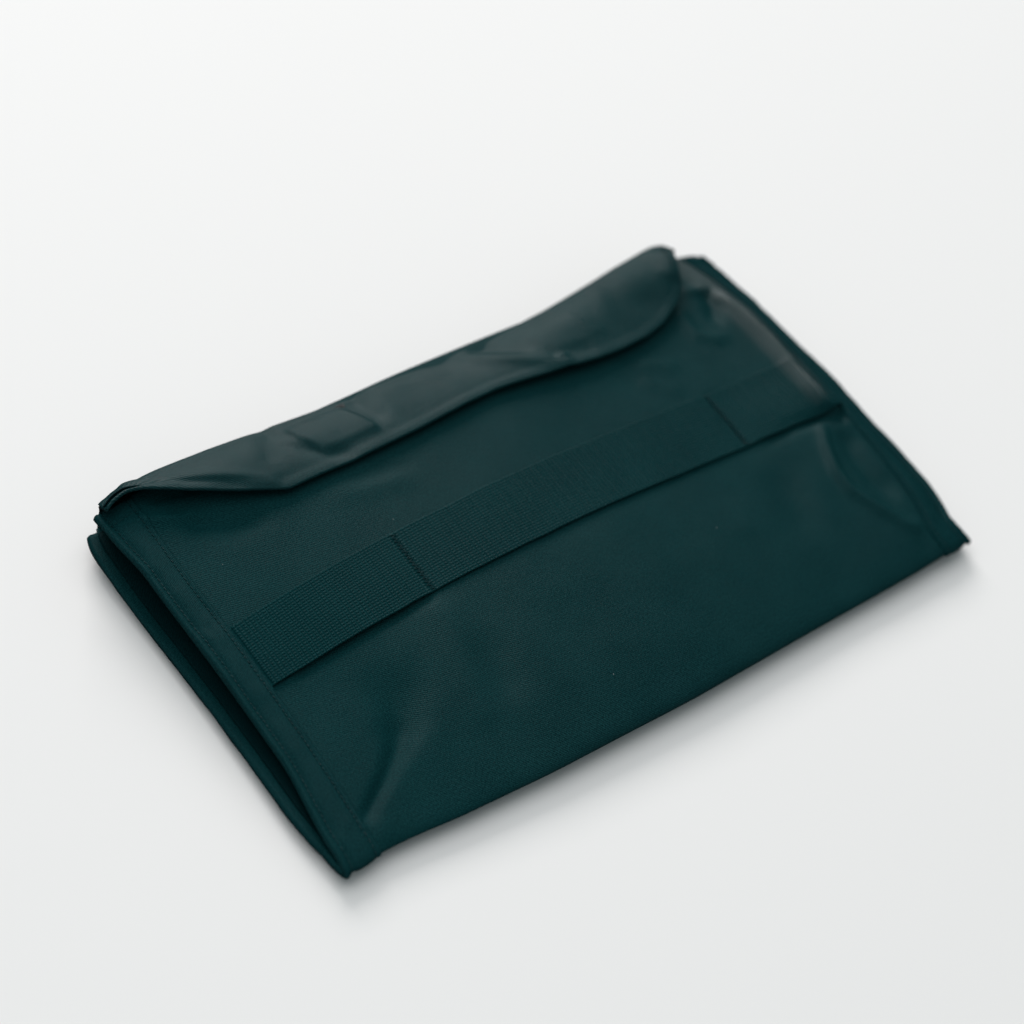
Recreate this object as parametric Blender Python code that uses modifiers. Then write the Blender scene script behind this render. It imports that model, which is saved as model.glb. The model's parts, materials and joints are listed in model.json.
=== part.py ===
"""Film changing bag, folded flat in its storage pouch.

Frame: metres, +Z up. Origin at the centre of the pouch's back face, which is the
face it rests on. +X runs along the long side to the right-hand end, +Y from the
bottom fold to the top fold where the flap starts, +Z out of the front face.
Sizes below are in mm and are converted where meshes, curves and empties are made.

The pouch is one wrap-round cloth (front, bottom fold, back) closed at both ends by
a wedge gusset, with the seam flanges bound in tape. The flap is a lined trapezoid
that folds twice, over the spine and on to the front. Inside lies the bag itself:
an outer cloth and a light-tight lining, each with its own zip, and two sleeves
with elastic at forearm and wrist.
"""

import math

import bmesh
import bpy
from mathutils import Vector

MM = 0.001

# ---- driving dimensions, mm ------------------------------------------------
POUCH_W = 324.0            # overall, over both bindings
POUCH_H = 181.0            # bottom fold to top fold
CLOTH = 0.6                # coated nylon twill
GAP = 0.4                  # clearance between neighbouring layers
EXTRA_GAP = 0.1            # added under patches and threads
FRONT_LOW = 10.0           # height of the front's edge near the bottom fold
FRONT_LOW_Y = -86.0
FRONT_HIGH = 23.5          # and near the mouth
FRONT_HIGH_Y = 88.0
DOME = 9.0                 # how far the filled front bulges in the middle
DOME_Y = -6.0              # centre of the bulge
DOME_HALF_H = 92.0
FOLD_BULGE = 6.0           # how far the bottom fold bows outwards in the middle
BACK_LIFT = 1.0            # how far the back stands off the table at its ends
BACK_RISE_W = 6.0          # width over which it lifts
BINDING_W = 17.0           # binding tape, visible width
THREAD_R = 0.35

HALF_W, HALF_H = POUCH_W / 2, POUCH_H / 2
INNER_EDGE = HALF_W - BINDING_W
FLAT_X = INNER_EDGE - 7.5  # the back is flat out to here
FOLD_END_X = HALF_W - 7.5  # the bottom fold bows out as far as here
CLOTH_END = HALF_W - 2.5
MOUTH_Y = 86.0
FOLD_START_Y = -78.0
BACK_TOP_Y = 87.5
HEM_Y = 67.0               # lower edge of the turned hem at the mouth
FLANGE_DEPTH = CLOTH * 1.5 + GAP   # gusset flange's middle below the outer face

SIDES = ((-1, "left"), (1, "right"))


# ---- scene and materials ---------------------------------------------------
for old in list(bpy.data.objects):
    bpy.data.objects.remove(old, do_unlink=True)


def collection(name):
    made = bpy.data.collections.new(name)
    bpy.context.scene.collection.children.link(made)
    return made


parts = collection("film_changing_bag")
cutters = collection("cutters")


def material(name, rgb, roughness, metallic=0.0):
    made = bpy.data.materials.new(name)
    made.use_nodes = True
    shader = made.node_tree.nodes["Principled BSDF"]
    shader.inputs["Base Color"].default_value = (*rgb, 1.0)
    shader.inputs["Roughness"].default_value = roughness
    shader.inputs["Metallic"].default_value = metallic
    return made


TWILL = material("black_twill", rgb=(0.012, 0.021, 0.022), roughness=0.62)
TAPE = material("binding_tape", rgb=(0.012, 0.022, 0.023), roughness=0.70)
WEBBING = material("webbing", rgb=(0.010, 0.020, 0.021), roughness=0.75)
LOOP = material("loop_patch", rgb=(0.012, 0.014, 0.015), roughness=0.95)
HOOK = material("hook_patch", rgb=(0.014, 0.016, 0.017), roughness=0.55)
THREAD = material("thread", rgb=(0.016, 0.026, 0.027), roughness=0.55)
NYLON = material("bag_nylon", rgb=(0.014, 0.014, 0.016), roughness=0.55)
LINING = material("bag_lining", rgb=(0.020, 0.018, 0.018), roughness=0.65)
ELASTIC = material("elastic", rgb=(0.025, 0.025, 0.027), roughness=0.85)
COIL = material("zip_coil", rgb=(0.018, 0.018, 0.020), roughness=0.45)
ZINC = material("zip_slider", rgb=(0.10, 0.10, 0.11), roughness=0.38, metallic=1.0)


# ---- number helpers --------------------------------------------------------
def lerp(a, b, t):
    return a + (b - a) * t


def smooth(t):
    """Eased step from 0 to 1, clamped outside."""
    t = max(0.0, min(1.0, t))
    return t * t * (3 - 2 * t)


def signed_power(value, exponent):
    return math.copysign(abs(value) ** exponent, value)


def ladder(start, *runs):
    """Stations from start through (end, count) runs that follow each other."""
    made = [start]
    for end, count in runs:
        begin = made[-1] if len(made) == 1 else previous_end
        made += [lerp(begin, end, (k + 1) / count) for k in range(count)]
        previous_end = end
    return made


# ---- object helpers --------------------------------------------------------
def add_object(name, data, mat):
    data.materials.append(mat)
    obj = bpy.data.objects.new(name, data)
    parts.objects.link(obj)
    return obj


def add_mesh(name, bm, mat):
    mesh = bpy.data.meshes.new(name)
    bm.to_mesh(mesh)
    bm.free()
    return add_object(name, mesh, mat)


def add_cloth(name, bm, thickness, mat):
    """A smooth surface given thickness about its middle."""
    obj = add_mesh(name, bm, mat)
    obj.data.shade_smooth()
    solid = obj.modifiers.new("thickness", "SOLIDIFY")
    solid.thickness = thickness * MM
    solid.offset = 0.0
    solid.use_even_offset = True
    solid.use_quality_normals = True
    return obj


def sheet(name, columns, rows, point, thickness, mat):
    """A cloth: a grid bent to point(column, row), where both are lists of stations."""
    across, along = len(columns) - 1, len(rows) - 1
    bm = bmesh.new()
    bmesh.ops.create_grid(bm, x_segments=across, y_segments=along, size=1.0)
    for v in bm.verts:
        column = columns[round((v.co.x + 1) / 2 * across)]
        row = rows[round((v.co.y + 1) / 2 * along)]
        v.co = Vector(point(column, row)) * MM
    return add_cloth(name, bm, thickness, mat)


def tube(name, point, around, along, thickness, mat):
    """A cloth tube, open at both ends: a cylinder's wall bent to point(angle, fraction)."""
    bm = bmesh.new()
    bmesh.ops.create_cone(bm, cap_ends=False, segments=around, radius1=1, radius2=1, depth=2)
    lengthwise = [e for e in bm.edges if abs(e.verts[0].co.z - e.verts[1].co.z) > 0.5]
    bmesh.ops.subdivide_edges(bm, edges=lengthwise, cuts=along - 1, use_grid_fill=True)
    for v in bm.verts:
        angle = math.atan2(v.co.y, v.co.x)
        v.co = Vector(point(angle, (v.co.z + 1) / 2)) * MM
    return add_cloth(name, bm, thickness, mat)


def box(name, centre, ranges, bevel=0.0):
    """A zinc block; ranges are its (low, high) in x, y and z about the centre."""
    low = Vector([c + r[0] for c, r in zip(centre, ranges)])
    high = Vector([c + r[1] for c, r in zip(centre, ranges)])
    bm = bmesh.new()
    bmesh.ops.create_cube(bm, size=1.0)
    for v in bm.verts:
        v.co = Vector([(low[k] + high[k]) / 2 + v.co[k] * (high[k] - low[k])
                       for k in range(3)]) * MM
    if bevel:
        bmesh.ops.bevel(bm, geom=list(bm.edges), offset=bevel * MM, segments=1, affect="EDGES")
    return add_mesh(name, bm, ZINC)


def boolean(obj, other, operation):
    """Joins or cuts with another object, which is filed out of the render."""
    parts.objects.unlink(other)
    cutters.objects.link(other)
    other.hide_render = True
    other.display_type = "WIRE"
    mod = obj.modifiers.new(operation.lower(), "BOOLEAN")
    mod.operation = operation
    mod.solver = "EXACT"
    mod.object = other


def poly_curve(name, dimensions, points):
    """Curve data with one poly spline."""
    data = bpy.data.curves.new(name, "CURVE")
    data.dimensions = dimensions
    spline = data.splines.new("POLY")
    spline.points.add(len(points) - 1)
    for spline_point, place in zip(spline.points, points):
        spline_point.co = (*(Vector(place) * MM), 1.0)
    return data


def thread(name, points):
    """A sewing thread with a round section and closed ends."""
    data = poly_curve(name, "3D", points)
    data.bevel_depth = THREAD_R * MM
    data.bevel_resolution = 1
    data.use_fill_caps = True
    add_object(name, data, THREAD)


def joint_empty(name, place):
    empty = bpy.data.objects.new(name, None)
    empty.location = Vector(place) * MM
    empty.empty_display_size = 0.01
    parts.objects.link(empty)
    return empty


def hang(obj, empty):
    """Parents the object to the empty, leaving it where it is."""
    bpy.context.view_layer.update()
    obj.parent = empty
    obj.matrix_parent_inverse = empty.matrix_world.inverted()


def hinge(obj, empty):
    """Moves the origin of an unmoved object to the empty and hangs it there."""
    pivot = empty.location.copy()
    for v in obj.data.vertices:
        v.co -= pivot
    obj.location = pivot
    hang(obj, empty)


# ---- the pouch's surface ---------------------------------------------------
def front_plane(y):
    """Height of the plane through the front's edges."""
    return lerp(FRONT_LOW, FRONT_HIGH, (y - FRONT_LOW_Y) / (FRONT_HIGH_Y - FRONT_LOW_Y))


def dome(x, y):
    """Bulge of the filled front over the plane through its edges."""
    across = max(0.0, 1 - (x / (INNER_EDGE - 0.5)) ** 2)
    along = max(0.0, 1 - ((y - DOME_Y) / DOME_HALF_H) ** 2)
    return DOME * across**0.8 * along


def front_z(x, y):
    return front_plane(y) + dome(x, y)


def on_front(x, y, offset):
    """A point the offset above the front's outer face."""
    return Vector((x, y, front_z(x, y) + offset))


def back_z(x):
    """The back lies on the table in the middle and stands on its binding at the ends."""
    return BACK_LIFT * smooth((abs(x) - FLAT_X) / BACK_RISE_W)


def half_turn(x, y, reach, top, low, turn):
    """A fold bowing out towards -Y: turn 0 is its top edge at y, turn 1 its bottom edge."""
    angle = math.radians(90 - 180 * turn)
    z = (top + low) / 2 + (top - low) / 2 * math.sin(angle)
    return Vector((x, y - reach * math.cos(angle), z))


def wrap(s, x):
    """Outer face of the wrap-round cloth: s 0-1 front, 1-2 bottom fold, 2-3 back."""
    if s <= 1:
        return on_front(x, lerp(MOUTH_Y, FOLD_START_Y, s), 0.0)
    if s < 2:
        bulge = FOLD_BULGE * max(0.0, 1 - (x / FOLD_END_X) ** 2)
        reach = HALF_H - CLOTH - GAP + FOLD_START_Y + bulge
        return half_turn(x, FOLD_START_Y, reach, front_z(x, FOLD_START_Y), back_z(x), s - 1)
    return Vector((x, lerp(FOLD_START_Y, BACK_TOP_Y, s - 2), back_z(x)))


def wrap_off(s, x, offset):
    """A point the offset outside the wrap-round cloth's outer face."""
    step = 1e-3
    along = wrap(min(3.0, s + step), x) - wrap(max(0.0, s - step), x)
    outward = along.cross(Vector((1.0, 0.0, 0.0)))
    outward.normalize()
    return wrap(s, x) + outward * offset


def s_of_front(y):
    return (MOUTH_Y - y) / (MOUTH_Y - FOLD_START_Y)


# ---- pouch: wrap-round cloth -----------------------------------------------
def main_panel():
    rise_end = FLAT_X + BACK_RISE_W
    xs = ladder(-CLOTH_END, (-rise_end, 1), (-FLAT_X, 1), (FLAT_X, 8), (rise_end, 1),
                (CLOTH_END, 1))
    stations = ladder(0, (s_of_front(HEM_Y), 2), (1, 8), (2, 8), (3, 3))
    sheet("main_panel", xs, stations, lambda x, s: wrap_off(s, x, -CLOTH / 2), CLOTH, TWILL)


main_panel()

# ---- pouch: gussets --------------------------------------------------------
FLANGE_OUT, FLANGE_IN = HALF_W - 3.0, HALF_W - 14.0
WALL_X = HALF_W - 16.5
PLEAT_X = HALF_W - 24.5            # deepest point of the pleat
PLEAT_FULL_H = 16.0                # the pleat is full where the wall is at least this high
CORNER_DROP, CORNER_SHARE = 1.6, 0.16   # wall's corner height, and its largest share


def gusset_point(side, column, y):
    """Across the gusset: front flange, wall pleated inwards, back flange."""
    top = front_z(FLANGE_IN, y) - FLANGE_DEPTH
    low = BACK_LIFT + FLANGE_DEPTH
    drop = min(CORNER_DROP, (top - low) * CORNER_SHARE)
    pleat = lerp(WALL_X, PLEAT_X, min(1.0, (top - low) / PLEAT_FULL_H))
    section = (
        (FLANGE_OUT, front_z(FLANGE_OUT, y) - FLANGE_DEPTH),
        (FLANGE_IN, top),
        (WALL_X, top - drop),
        (pleat, (top + low) / 2),
        (WALL_X, low + drop),
        (FLANGE_IN, low),
        (FLANGE_OUT, low),
    )
    x, z = section[column]
    return Vector((side * x, y, z))


def gusset(side, hand):
    sheet(f"{hand}_gusset", range(7), ladder(-74.0, (82.0, 8)),
          lambda column, y: gusset_point(side, column, y), CLOTH, TWILL)


# ---- pouch: bindings -------------------------------------------------------
STRAP_W = 30.0             # webbing
STRAP_T = 1.2
STRAP_Y = 5.0              # centre line of the webbing
STRAP_LIFT = 1.7           # how far the webbing lifts the binding that covers its end
STRAP_SHOULDER = 3.0       # width over which the lift dies away
LIFT_HALF = STRAP_W / 2 + 0.5

lift_low, lift_high = STRAP_Y - LIFT_HALF, STRAP_Y + LIFT_HALF
binding_front_y = ladder(85.0, (lift_high + STRAP_SHOULDER, 4), (lift_high, 1), (lift_low, 1),
                         (lift_low - STRAP_SHOULDER, 1), (FOLD_START_Y, 4))
binding_s = [s_of_front(y) for y in binding_front_y] + ladder(1, (2, 8), (2.985, 3))[1:]

UNDER_N = -(CLOTH + GAP) * 2 - CLOTH / 2
OVER_N = GAP + CLOTH / 2
BINDING_SECTION = (        # x, offset from the cloth's outer face, lifted by the webbing
    (INNER_EDGE, OVER_N, True),
    (HALF_W - 1.6, OVER_N, True),
    (HALF_W - 0.3, -0.75, False),
    (HALF_W - 1.6, UNDER_N, False),
    (HALF_W - 13.0, UNDER_N, False),
)
STITCH_ROWS = (("outer", HALF_W - 3.8), ("inner", INNER_EDGE + 2.2))   # name, x


def strap_lift(y):
    beyond = abs(y - STRAP_Y) - LIFT_HALF
    return STRAP_LIFT * smooth(1 - beyond / STRAP_SHOULDER)


def binding_point(side, corner, s):
    x, offset, lifted = corner
    if lifted and s < 1:
        offset += strap_lift(lerp(MOUTH_Y, FOLD_START_Y, s))
    return wrap_off(s, side * x, offset)


def binding(side, hand):
    sheet(f"{hand}_binding", BINDING_SECTION, binding_s,
          lambda corner, s: binding_point(side, corner, s), CLOTH, TAPE)


def binding_stitches(side, hand):
    height = CLOTH + 2 * GAP + EXTRA_GAP + THREAD_R
    for row, x in STITCH_ROWS:
        thread(f"{hand}_binding_stitch_{row}",
               [on_front(side * x, y, height + strap_lift(y))
                for y in [84.0] + binding_front_y[1:-1] + [-76.0]])


for side, hand in SIDES:
    gusset(side, hand)
    binding(side, hand)
    binding_stitches(side, hand)


# ---- pouch: mouth hem ------------------------------------------------------
def mouth_hem():
    rows = (HEM_Y, (HEM_Y + MOUTH_Y) / 2, MOUTH_Y - 0.5)
    sheet("mouth_hem", ladder(-FLAT_X, (FLAT_X, 8)), rows,
          lambda x, y: on_front(x, y, -FLANGE_DEPTH - 0.2), CLOTH, TAPE)


mouth_hem()

# ---- pouch: webbing --------------------------------------------------------
TACK_X = (-65.0, 98.0)             # where the webbing is tacked down
TACK_HALF_W = 1.4                  # half width of the tack's zigzag
TACK_MARGIN = 1.5                  # from the webbing's edges
TACK_STEPS = 10
STRAP_END = HALF_W - 6.5           # tucked under the bindings
STRAP_FREE = INNER_EDGE - 1        # free of the bindings inside this
STRAP_SPANS = (                    # start, end, pieces, rise off the cloth between tacks
    (-STRAP_FREE, TACK_X[0], 5, 2.4),
    (TACK_X[0], TACK_X[1], 7, 0.3),
    (TACK_X[1], STRAP_FREE, 3, 1.2),
)


def strap_bow(x):
    for start, end, _, rise in STRAP_SPANS:
        if start <= x <= end:
            return rise * math.sin(math.pi * (x - start) / (end - start))
    return 0.0


def webbing_strap():
    spans = [(end, pieces) for _, end, pieces, _ in STRAP_SPANS]
    sheet("webbing_strap",
          ladder(-STRAP_END, (-STRAP_FREE, 1), *spans, (STRAP_END, 1)),
          (STRAP_Y - STRAP_W / 2, STRAP_Y, STRAP_Y + STRAP_W / 2),
          lambda x, y: on_front(x, y, GAP + STRAP_T / 2 + strap_bow(x)), STRAP_T, WEBBING)


def strap_tack(x, hand):
    """A zigzag of thread across the webbing."""
    height = 2 * GAP + STRAP_T + THREAD_R + EXTRA_GAP
    top = STRAP_Y + STRAP_W / 2 - TACK_MARGIN
    step = (STRAP_W - 2 * TACK_MARGIN) / TACK_STEPS
    thread(f"strap_tack_{hand}",
           [on_front(x + (TACK_HALF_W if k % 2 else -TACK_HALF_W), top - k * step, height)
            for k in range(TACK_STEPS + 1)])


webbing_strap()
for x, (_, hand) in zip(TACK_X, SIDES):
    strap_tack(x, hand)

# ---- pouch: hook and loop patches ------------------------------------------
PATCH_W, PATCH_D, PATCH_T = 25.0, 20.0, 1.0
PATCH_X, PATCH_Y = 60.0, 75.0
LOOP_N = GAP + EXTRA_GAP + PATCH_T / 2     # middle of the loop patch above the front
HOOK_N = LOOP_N + PATCH_T + GAP


def patch(name, side, offset, mat):
    x = side * PATCH_X
    return sheet(name, (x - PATCH_W / 2, x, x + PATCH_W / 2),
                 (PATCH_Y - PATCH_D / 2, PATCH_Y + PATCH_D / 2),
                 lambda x, y: on_front(x, y, offset), PATCH_T, mat)


for side, hand in SIDES:
    patch(f"front_loop_patch_{hand}", side, LOOP_N, LOOP)

# ---- pouch: flap and spine -------------------------------------------------
SPINE_Y = 89.5             # plane of the spine, and of both fold lines
FOLD_LOW_Z = 1.6           # spine fold line
FOLD_HIGH_Z = 27.2         # flap fold line
SPINE_END_X = HALF_W - 7.5
FLAP_EDGE_Y = 61.4         # free edge of the flap
FLAP_CORNER_X = 89.0       # where the free edge starts to slant
FLAP_END_X = HALF_W - 6.0
FLAP_ROOT_Y = 87.3
FLAP_END_Y = 83.5          # where the slant meets the flap's ends
FLAP_LINING_N = HOOK_N + PATCH_T / 2 + GAP + CLOTH / 2
FLAP_OUTER_N = FLAP_LINING_N + CLOTH + GAP

flap_fold = joint_empty("flap_fold_axis", (0, SPINE_Y, FOLD_HIGH_Z))
spine_fold = joint_empty("spine_fold_axis", (0, SPINE_Y, FOLD_LOW_Z))
hang(flap_fold, spine_fold)


def flap_edge(x):
    """The flap's free edge: straight in the middle, slanting back to the fold at each end."""
    t = max(0.0, (abs(x) - FLAP_CORNER_X) / (FLAP_END_X - FLAP_CORNER_X))
    return lerp(FLAP_EDGE_Y, FLAP_END_Y, t)


def flap_point(x, t, offset, inset):
    """t runs from the flap's root, 0, to its free edge, 1."""
    x = math.copysign(min(abs(x), FLAP_END_X - inset), x)
    return on_front(x, lerp(FLAP_ROOT_Y, flap_edge(x) + inset, t), offset)


def flap_layer(name, offset, inset):
    xs = ladder(-FLAP_END_X, (-FLAP_CORNER_X, 3), (FLAP_CORNER_X, 6), (FLAP_END_X, 3))
    layer = sheet(name, xs, ladder(0, (1, 3)),
                  lambda x, t: flap_point(x, t, offset, inset), CLOTH, TWILL)
    hinge(layer, flap_fold)


def spine_layer(name, y):
    layer = sheet(name, ladder(-SPINE_END_X, (SPINE_END_X, 4)), (3.8, 14.5, 25.2),
                  lambda x, z: Vector((x, y, z)), CLOTH, TWILL)
    hinge(layer, spine_fold)


flap_layer("flap_outer", FLAP_OUTER_N, inset=0.0)
flap_layer("flap_lining", FLAP_LINING_N, inset=0.8)
for side, hand in SIDES:
    hinge(patch(f"flap_hook_patch_{hand}", side, HOOK_N, HOOK), flap_fold)
spine_layer("spine_outer", HALF_H - CLOTH / 2)
spine_layer("spine_lining", HALF_H - CLOTH * 1.5 - GAP)

# ---- folded bag ------------------------------------------------------------
BAG_CLOTH = 0.4
BAG_X = 132.0              # half width of the folded bag
BAG_LOW = 1.2              # height of its bottom layer
BAG_BELOW_FRONT = 2.9      # its top layer below the plane of the front's edges
BAG_DOME = 0.85            # share of the front's dome that its top layer follows
BAG_FADE = (0.0, 36.0)     # the dome fades out between these y
BAG_FOLD_Y = -56.0         # where the fold at the bottom starts
BAG_LAYERS = (             # name, level of the top leaf, fold reach, lip y, half width, material
    ("bag_outer_cloth", 1.0, 9.0, 58.0, BAG_X, NYLON),
    ("bag_lining", 0.88, 6.2, 34.0, BAG_X - 2.0, LINING),
)
SLEEVE_X = 64.0            # centre of each sleeve
# name, half width, start y, end y, half depth in levels, segments around, pieces along,
# thickness, material
SLEEVE_TUBES = (
    ("sleeve", 59.0, -48.0, 30.0, 0.24, 20, 4, BAG_CLOTH, NYLON),
    ("wrist_elastic", 50.0, 17.0, 27.0, 0.13, 16, 1, 0.8, ELASTIC),
    ("forearm_elastic", 54.0, -30.0, -18.0, 0.13, 16, 1, 0.8, ELASTIC),
)


def bag_level(x, y, level):
    """Height in the folded bag: level 0 is its bottom layer, 1 its top layer."""
    fade = 1 - smooth((y - BAG_FADE[0]) / (BAG_FADE[1] - BAG_FADE[0]))
    top = front_plane(y) - BAG_BELOW_FRONT + BAG_DOME * dome(x, y) * fade
    return lerp(BAG_LOW, top, level)


def bag_fold(x, s, level, reach, lip):
    """A layer folded in half round the bottom: s 0-1 top leaf, 1-2 fold, 2-3 bottom leaf."""
    if s <= 1:
        y = lerp(lip, BAG_FOLD_Y, s)
        return Vector((x, y, bag_level(x, y, level)))
    if s < 2:
        top, low = (bag_level(x, BAG_FOLD_Y, f) for f in (level, 1 - level))
        return half_turn(x, BAG_FOLD_Y, reach, top, low, s - 1)
    y = lerp(BAG_FOLD_Y, lip, s - 2)
    return Vector((x, y, bag_level(x, y, 1 - level)))


def bag_layer(name, level, reach, lip, half, mat):
    sheet(name, ladder(-half, (half, 6)), ladder(0, (1, 5), (2, 4), (3, 4)),
          lambda x, s: bag_fold(x, s, level, reach, lip), BAG_CLOTH, mat)


def flat_tube(name, centre_x, half_x, start_y, end_y, half_level, around, along, thickness, mat):
    """A flattened tube along Y, halfway between the bag's top and bottom layers."""
    def point(angle, t):
        x = centre_x + half_x * signed_power(math.cos(angle), 0.55)
        y = lerp(start_y, end_y, t)
        level = 0.5 + half_level * signed_power(math.sin(angle), 0.8)
        return Vector((x, y, bag_level(x, y, level)))

    tube(name, point, around, along, thickness, mat)


for layer in BAG_LAYERS:
    bag_layer(*layer)
for side, hand in SIDES:
    for name, *shape in SLEEVE_TUBES:
        flat_tube(f"{hand}_{name}", side * SLEEVE_X, *shape)

# ---- zips ------------------------------------------------------------------
ZIPS = (   # name, y, centre z, spread of the tapes, slider x, pull direction, pull length
    ("outer", 66.0, 9.7, 7.1, -113.0, 1, 18.0),
    ("inner", 42.0, 8.8, 4.7, 113.0, -1, 13.5),
)
ZIP_HALF = 118.0           # half length of a zip chain
TAPE_HALF = 122.0          # half length of a zip tape
TAPE_T = 0.5
TAPE_EDGE = 2.75           # tape edge beside the coil, from the zip's centre
COIL_HALF_T = 1.0          # half thickness of the coil, along Y
TOOTH_TIP, TOOTH_ROOT, COIL_BACK = 0.5, 1.15, 2.4   # distances from the zip's centre
TOOTH_PITCH, TEETH = 8.0, 29
TOOTH_START = 2.0          # first tooth from the end of the chain
TOOTH_PROFILE = (          # x from the tooth's start, distance from the zip's centre
    (0.0, TOOTH_ROOT), (0.6, TOOTH_TIP), (3.4, TOOTH_TIP), (4.0, TOOTH_ROOT),
)
STOP_RANGES = ((-1.6, 1.6), (-1.1, 1.1), (-2.4, 2.4))
STOP_OFFSET = 2.4          # stop's centre beyond the end of the chain
STOP_BEVEL = 0.3

PLATE_X, PLATE_Z = (-5.5, 5.5), (-3.6, 3.6)
SLIDER_PARTS = (           # name, operation, (x, y, z) ranges about the slider's centre
    ("under_plate", "UNION", (PLATE_X, (-2.4, -1.4), PLATE_Z)),
    ("web", "UNION", ((-2.0, 2.0), (-1.9, 1.9), (-0.2, 0.2))),
    ("turned_edge", "UNION", (PLATE_X, (0.7, 1.9), (-3.6, -3.0))),
    ("turned_edge", "UNION", (PLATE_X, (0.7, 1.9), (3.0, 3.6))),
    ("bail", "UNION", ((-3.4, 3.4), (2.0, 5.0), (-0.8, 0.8))),
    ("bail_eye", "DIFFERENCE", ((-2.6, 2.6), (2.35, 4.35), (-1.2, 1.2))),
)
PULL_PIVOT = 3.3           # pull's axis from the slider's centre, along Y
PULL_BAR = 0.55            # half width of the cross bar
WINDOW_END = 5.0           # far end of the pull's window from its axis


def zip_tape(name, y, z, spread, sign):
    path = (               # y, distance from the zip's centre
        (y - 11.0, spread),
        (y - 5.0, spread),
        (y - 1.0, lerp(spread, TAPE_EDGE, 0.25)),
        (y, lerp(spread, TAPE_EDGE, 0.6)),
        (y, TAPE_EDGE),
    )
    sheet(name, (-TAPE_HALF, 0.0, TAPE_HALF), path,
          lambda x, place: Vector((x, place[0], z + sign * place[1])), TAPE_T, NYLON)


def zip_coil(name, y, z, sign):
    """One row of teeth: a toothed outline in the XZ plane with the row's thickness along Y."""
    outline = []
    for k in range(TEETH):
        start = -ZIP_HALF + TOOTH_START + k * TOOTH_PITCH
        outline += [(start + along, depth) for along, depth in TOOTH_PROFILE]
    outline += [(ZIP_HALF, TOOTH_ROOT), (ZIP_HALF, COIL_BACK),
                (-ZIP_HALF, COIL_BACK), (-ZIP_HALF, TOOTH_ROOT)]
    data = poly_curve(name, "2D", [(along, sign * depth, 0.0) for along, depth in outline])
    data.fill_mode = "BOTH"
    data.extrude = COIL_HALF_T * MM
    data.splines[0].use_cyclic_u = True
    obj = add_object(name, data, COIL)
    obj.location = Vector((0.0, y, z)) * MM
    obj.rotation_euler = (math.radians(90), 0.0, 0.0)


def zip_slider(prefix, centre):
    """Two plates joined by a thin web that rides between the rows, with a bail for the pull."""
    body = box(f"{prefix}_zip_slider", centre, (PLATE_X, (1.4, 2.4), PLATE_Z))
    for name, operation, ranges in SLIDER_PARTS:
        boolean(body, box(name, centre, ranges), operation)
    rail = joint_empty(f"{prefix}_zip_slide_axis", centre)
    hinge(body, rail)
    return rail


def zip_pull(prefix, centre, direction, length, rail):
    """A flat pull whose cross bar turns in the slider's bail, lying along the zip at rest."""
    span = sorted((-direction * PULL_BAR, direction * length))
    body = box(f"{prefix}_zip_pull", centre, (span, (2.75, 3.85), (-3.0, 3.0)))
    opening = sorted((direction * PULL_BAR, direction * WINDOW_END))
    window = box(f"{prefix}_pull_window", centre, (opening, (2.0, 4.6), (-1.7, 1.7)))
    boolean(body, window, "DIFFERENCE")
    x, y, z = centre
    pin = joint_empty(f"{prefix}_zip_pull_axis", (x, y + PULL_PIVOT, z))
    hang(pin, rail)
    hinge(body, pin)


for prefix, y, z, spread, slider_x, direction, length in ZIPS:
    for row, sign in (("upper", 1), ("lower", -1)):
        zip_tape(f"{prefix}_zip_{row}_tape", y, z, spread, sign)
        zip_coil(f"{prefix}_zip_{row}_coil", y, z, sign)
    for side, hand in SIDES:
        box(f"{prefix}_zip_stop_{hand}", (side * (ZIP_HALF + STOP_OFFSET), y, z), STOP_RANGES,
            STOP_BEVEL)
    rail = zip_slider(prefix, (slider_x, y, z))
    zip_pull(prefix, (slider_x, y, z), direction, length, rail)
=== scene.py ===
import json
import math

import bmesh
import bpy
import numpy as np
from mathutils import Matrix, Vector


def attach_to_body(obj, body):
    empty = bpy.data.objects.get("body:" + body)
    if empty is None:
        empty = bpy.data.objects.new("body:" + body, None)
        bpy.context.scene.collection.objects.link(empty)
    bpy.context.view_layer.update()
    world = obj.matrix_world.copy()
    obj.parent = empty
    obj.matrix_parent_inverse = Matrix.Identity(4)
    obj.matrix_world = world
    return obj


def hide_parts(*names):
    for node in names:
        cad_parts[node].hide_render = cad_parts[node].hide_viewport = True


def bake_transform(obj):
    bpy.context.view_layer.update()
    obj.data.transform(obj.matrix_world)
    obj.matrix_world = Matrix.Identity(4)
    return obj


# A flat cloth pouch with a flap, lying on its back on a table. X runs along the pouch (left is -X),
# Y runs from the bottom fold (-Y) to the mouth and the flap's spine (+Y), and the front faces up, +Z.
# Lengths are in mm until mesh_object turns them into metres. The pouch is one wrap-round cloth:
#   u     along the flat cloth, -162 to 162
#   v     up the flat cloth, -90 at the bottom fold, 88 at the mouth
#   wrap  0-1 down the front from the mouth, 1-2 round the bottom fold, 2-3 up the back to the spine
#   off   distance out of the cloth, along its normal

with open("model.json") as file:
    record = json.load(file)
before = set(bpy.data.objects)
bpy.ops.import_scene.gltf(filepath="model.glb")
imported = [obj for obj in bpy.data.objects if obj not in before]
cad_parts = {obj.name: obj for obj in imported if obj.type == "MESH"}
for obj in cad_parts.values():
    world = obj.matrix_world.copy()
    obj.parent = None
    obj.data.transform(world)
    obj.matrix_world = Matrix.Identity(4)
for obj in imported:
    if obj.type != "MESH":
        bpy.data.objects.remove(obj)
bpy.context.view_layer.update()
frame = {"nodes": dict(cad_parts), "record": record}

MM = 0.001
SIDES = ((-1, "left"), (1, "right"))
rng = np.random.default_rng(7)

# =============================================================================
# Numeric tools
# =============================================================================


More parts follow.
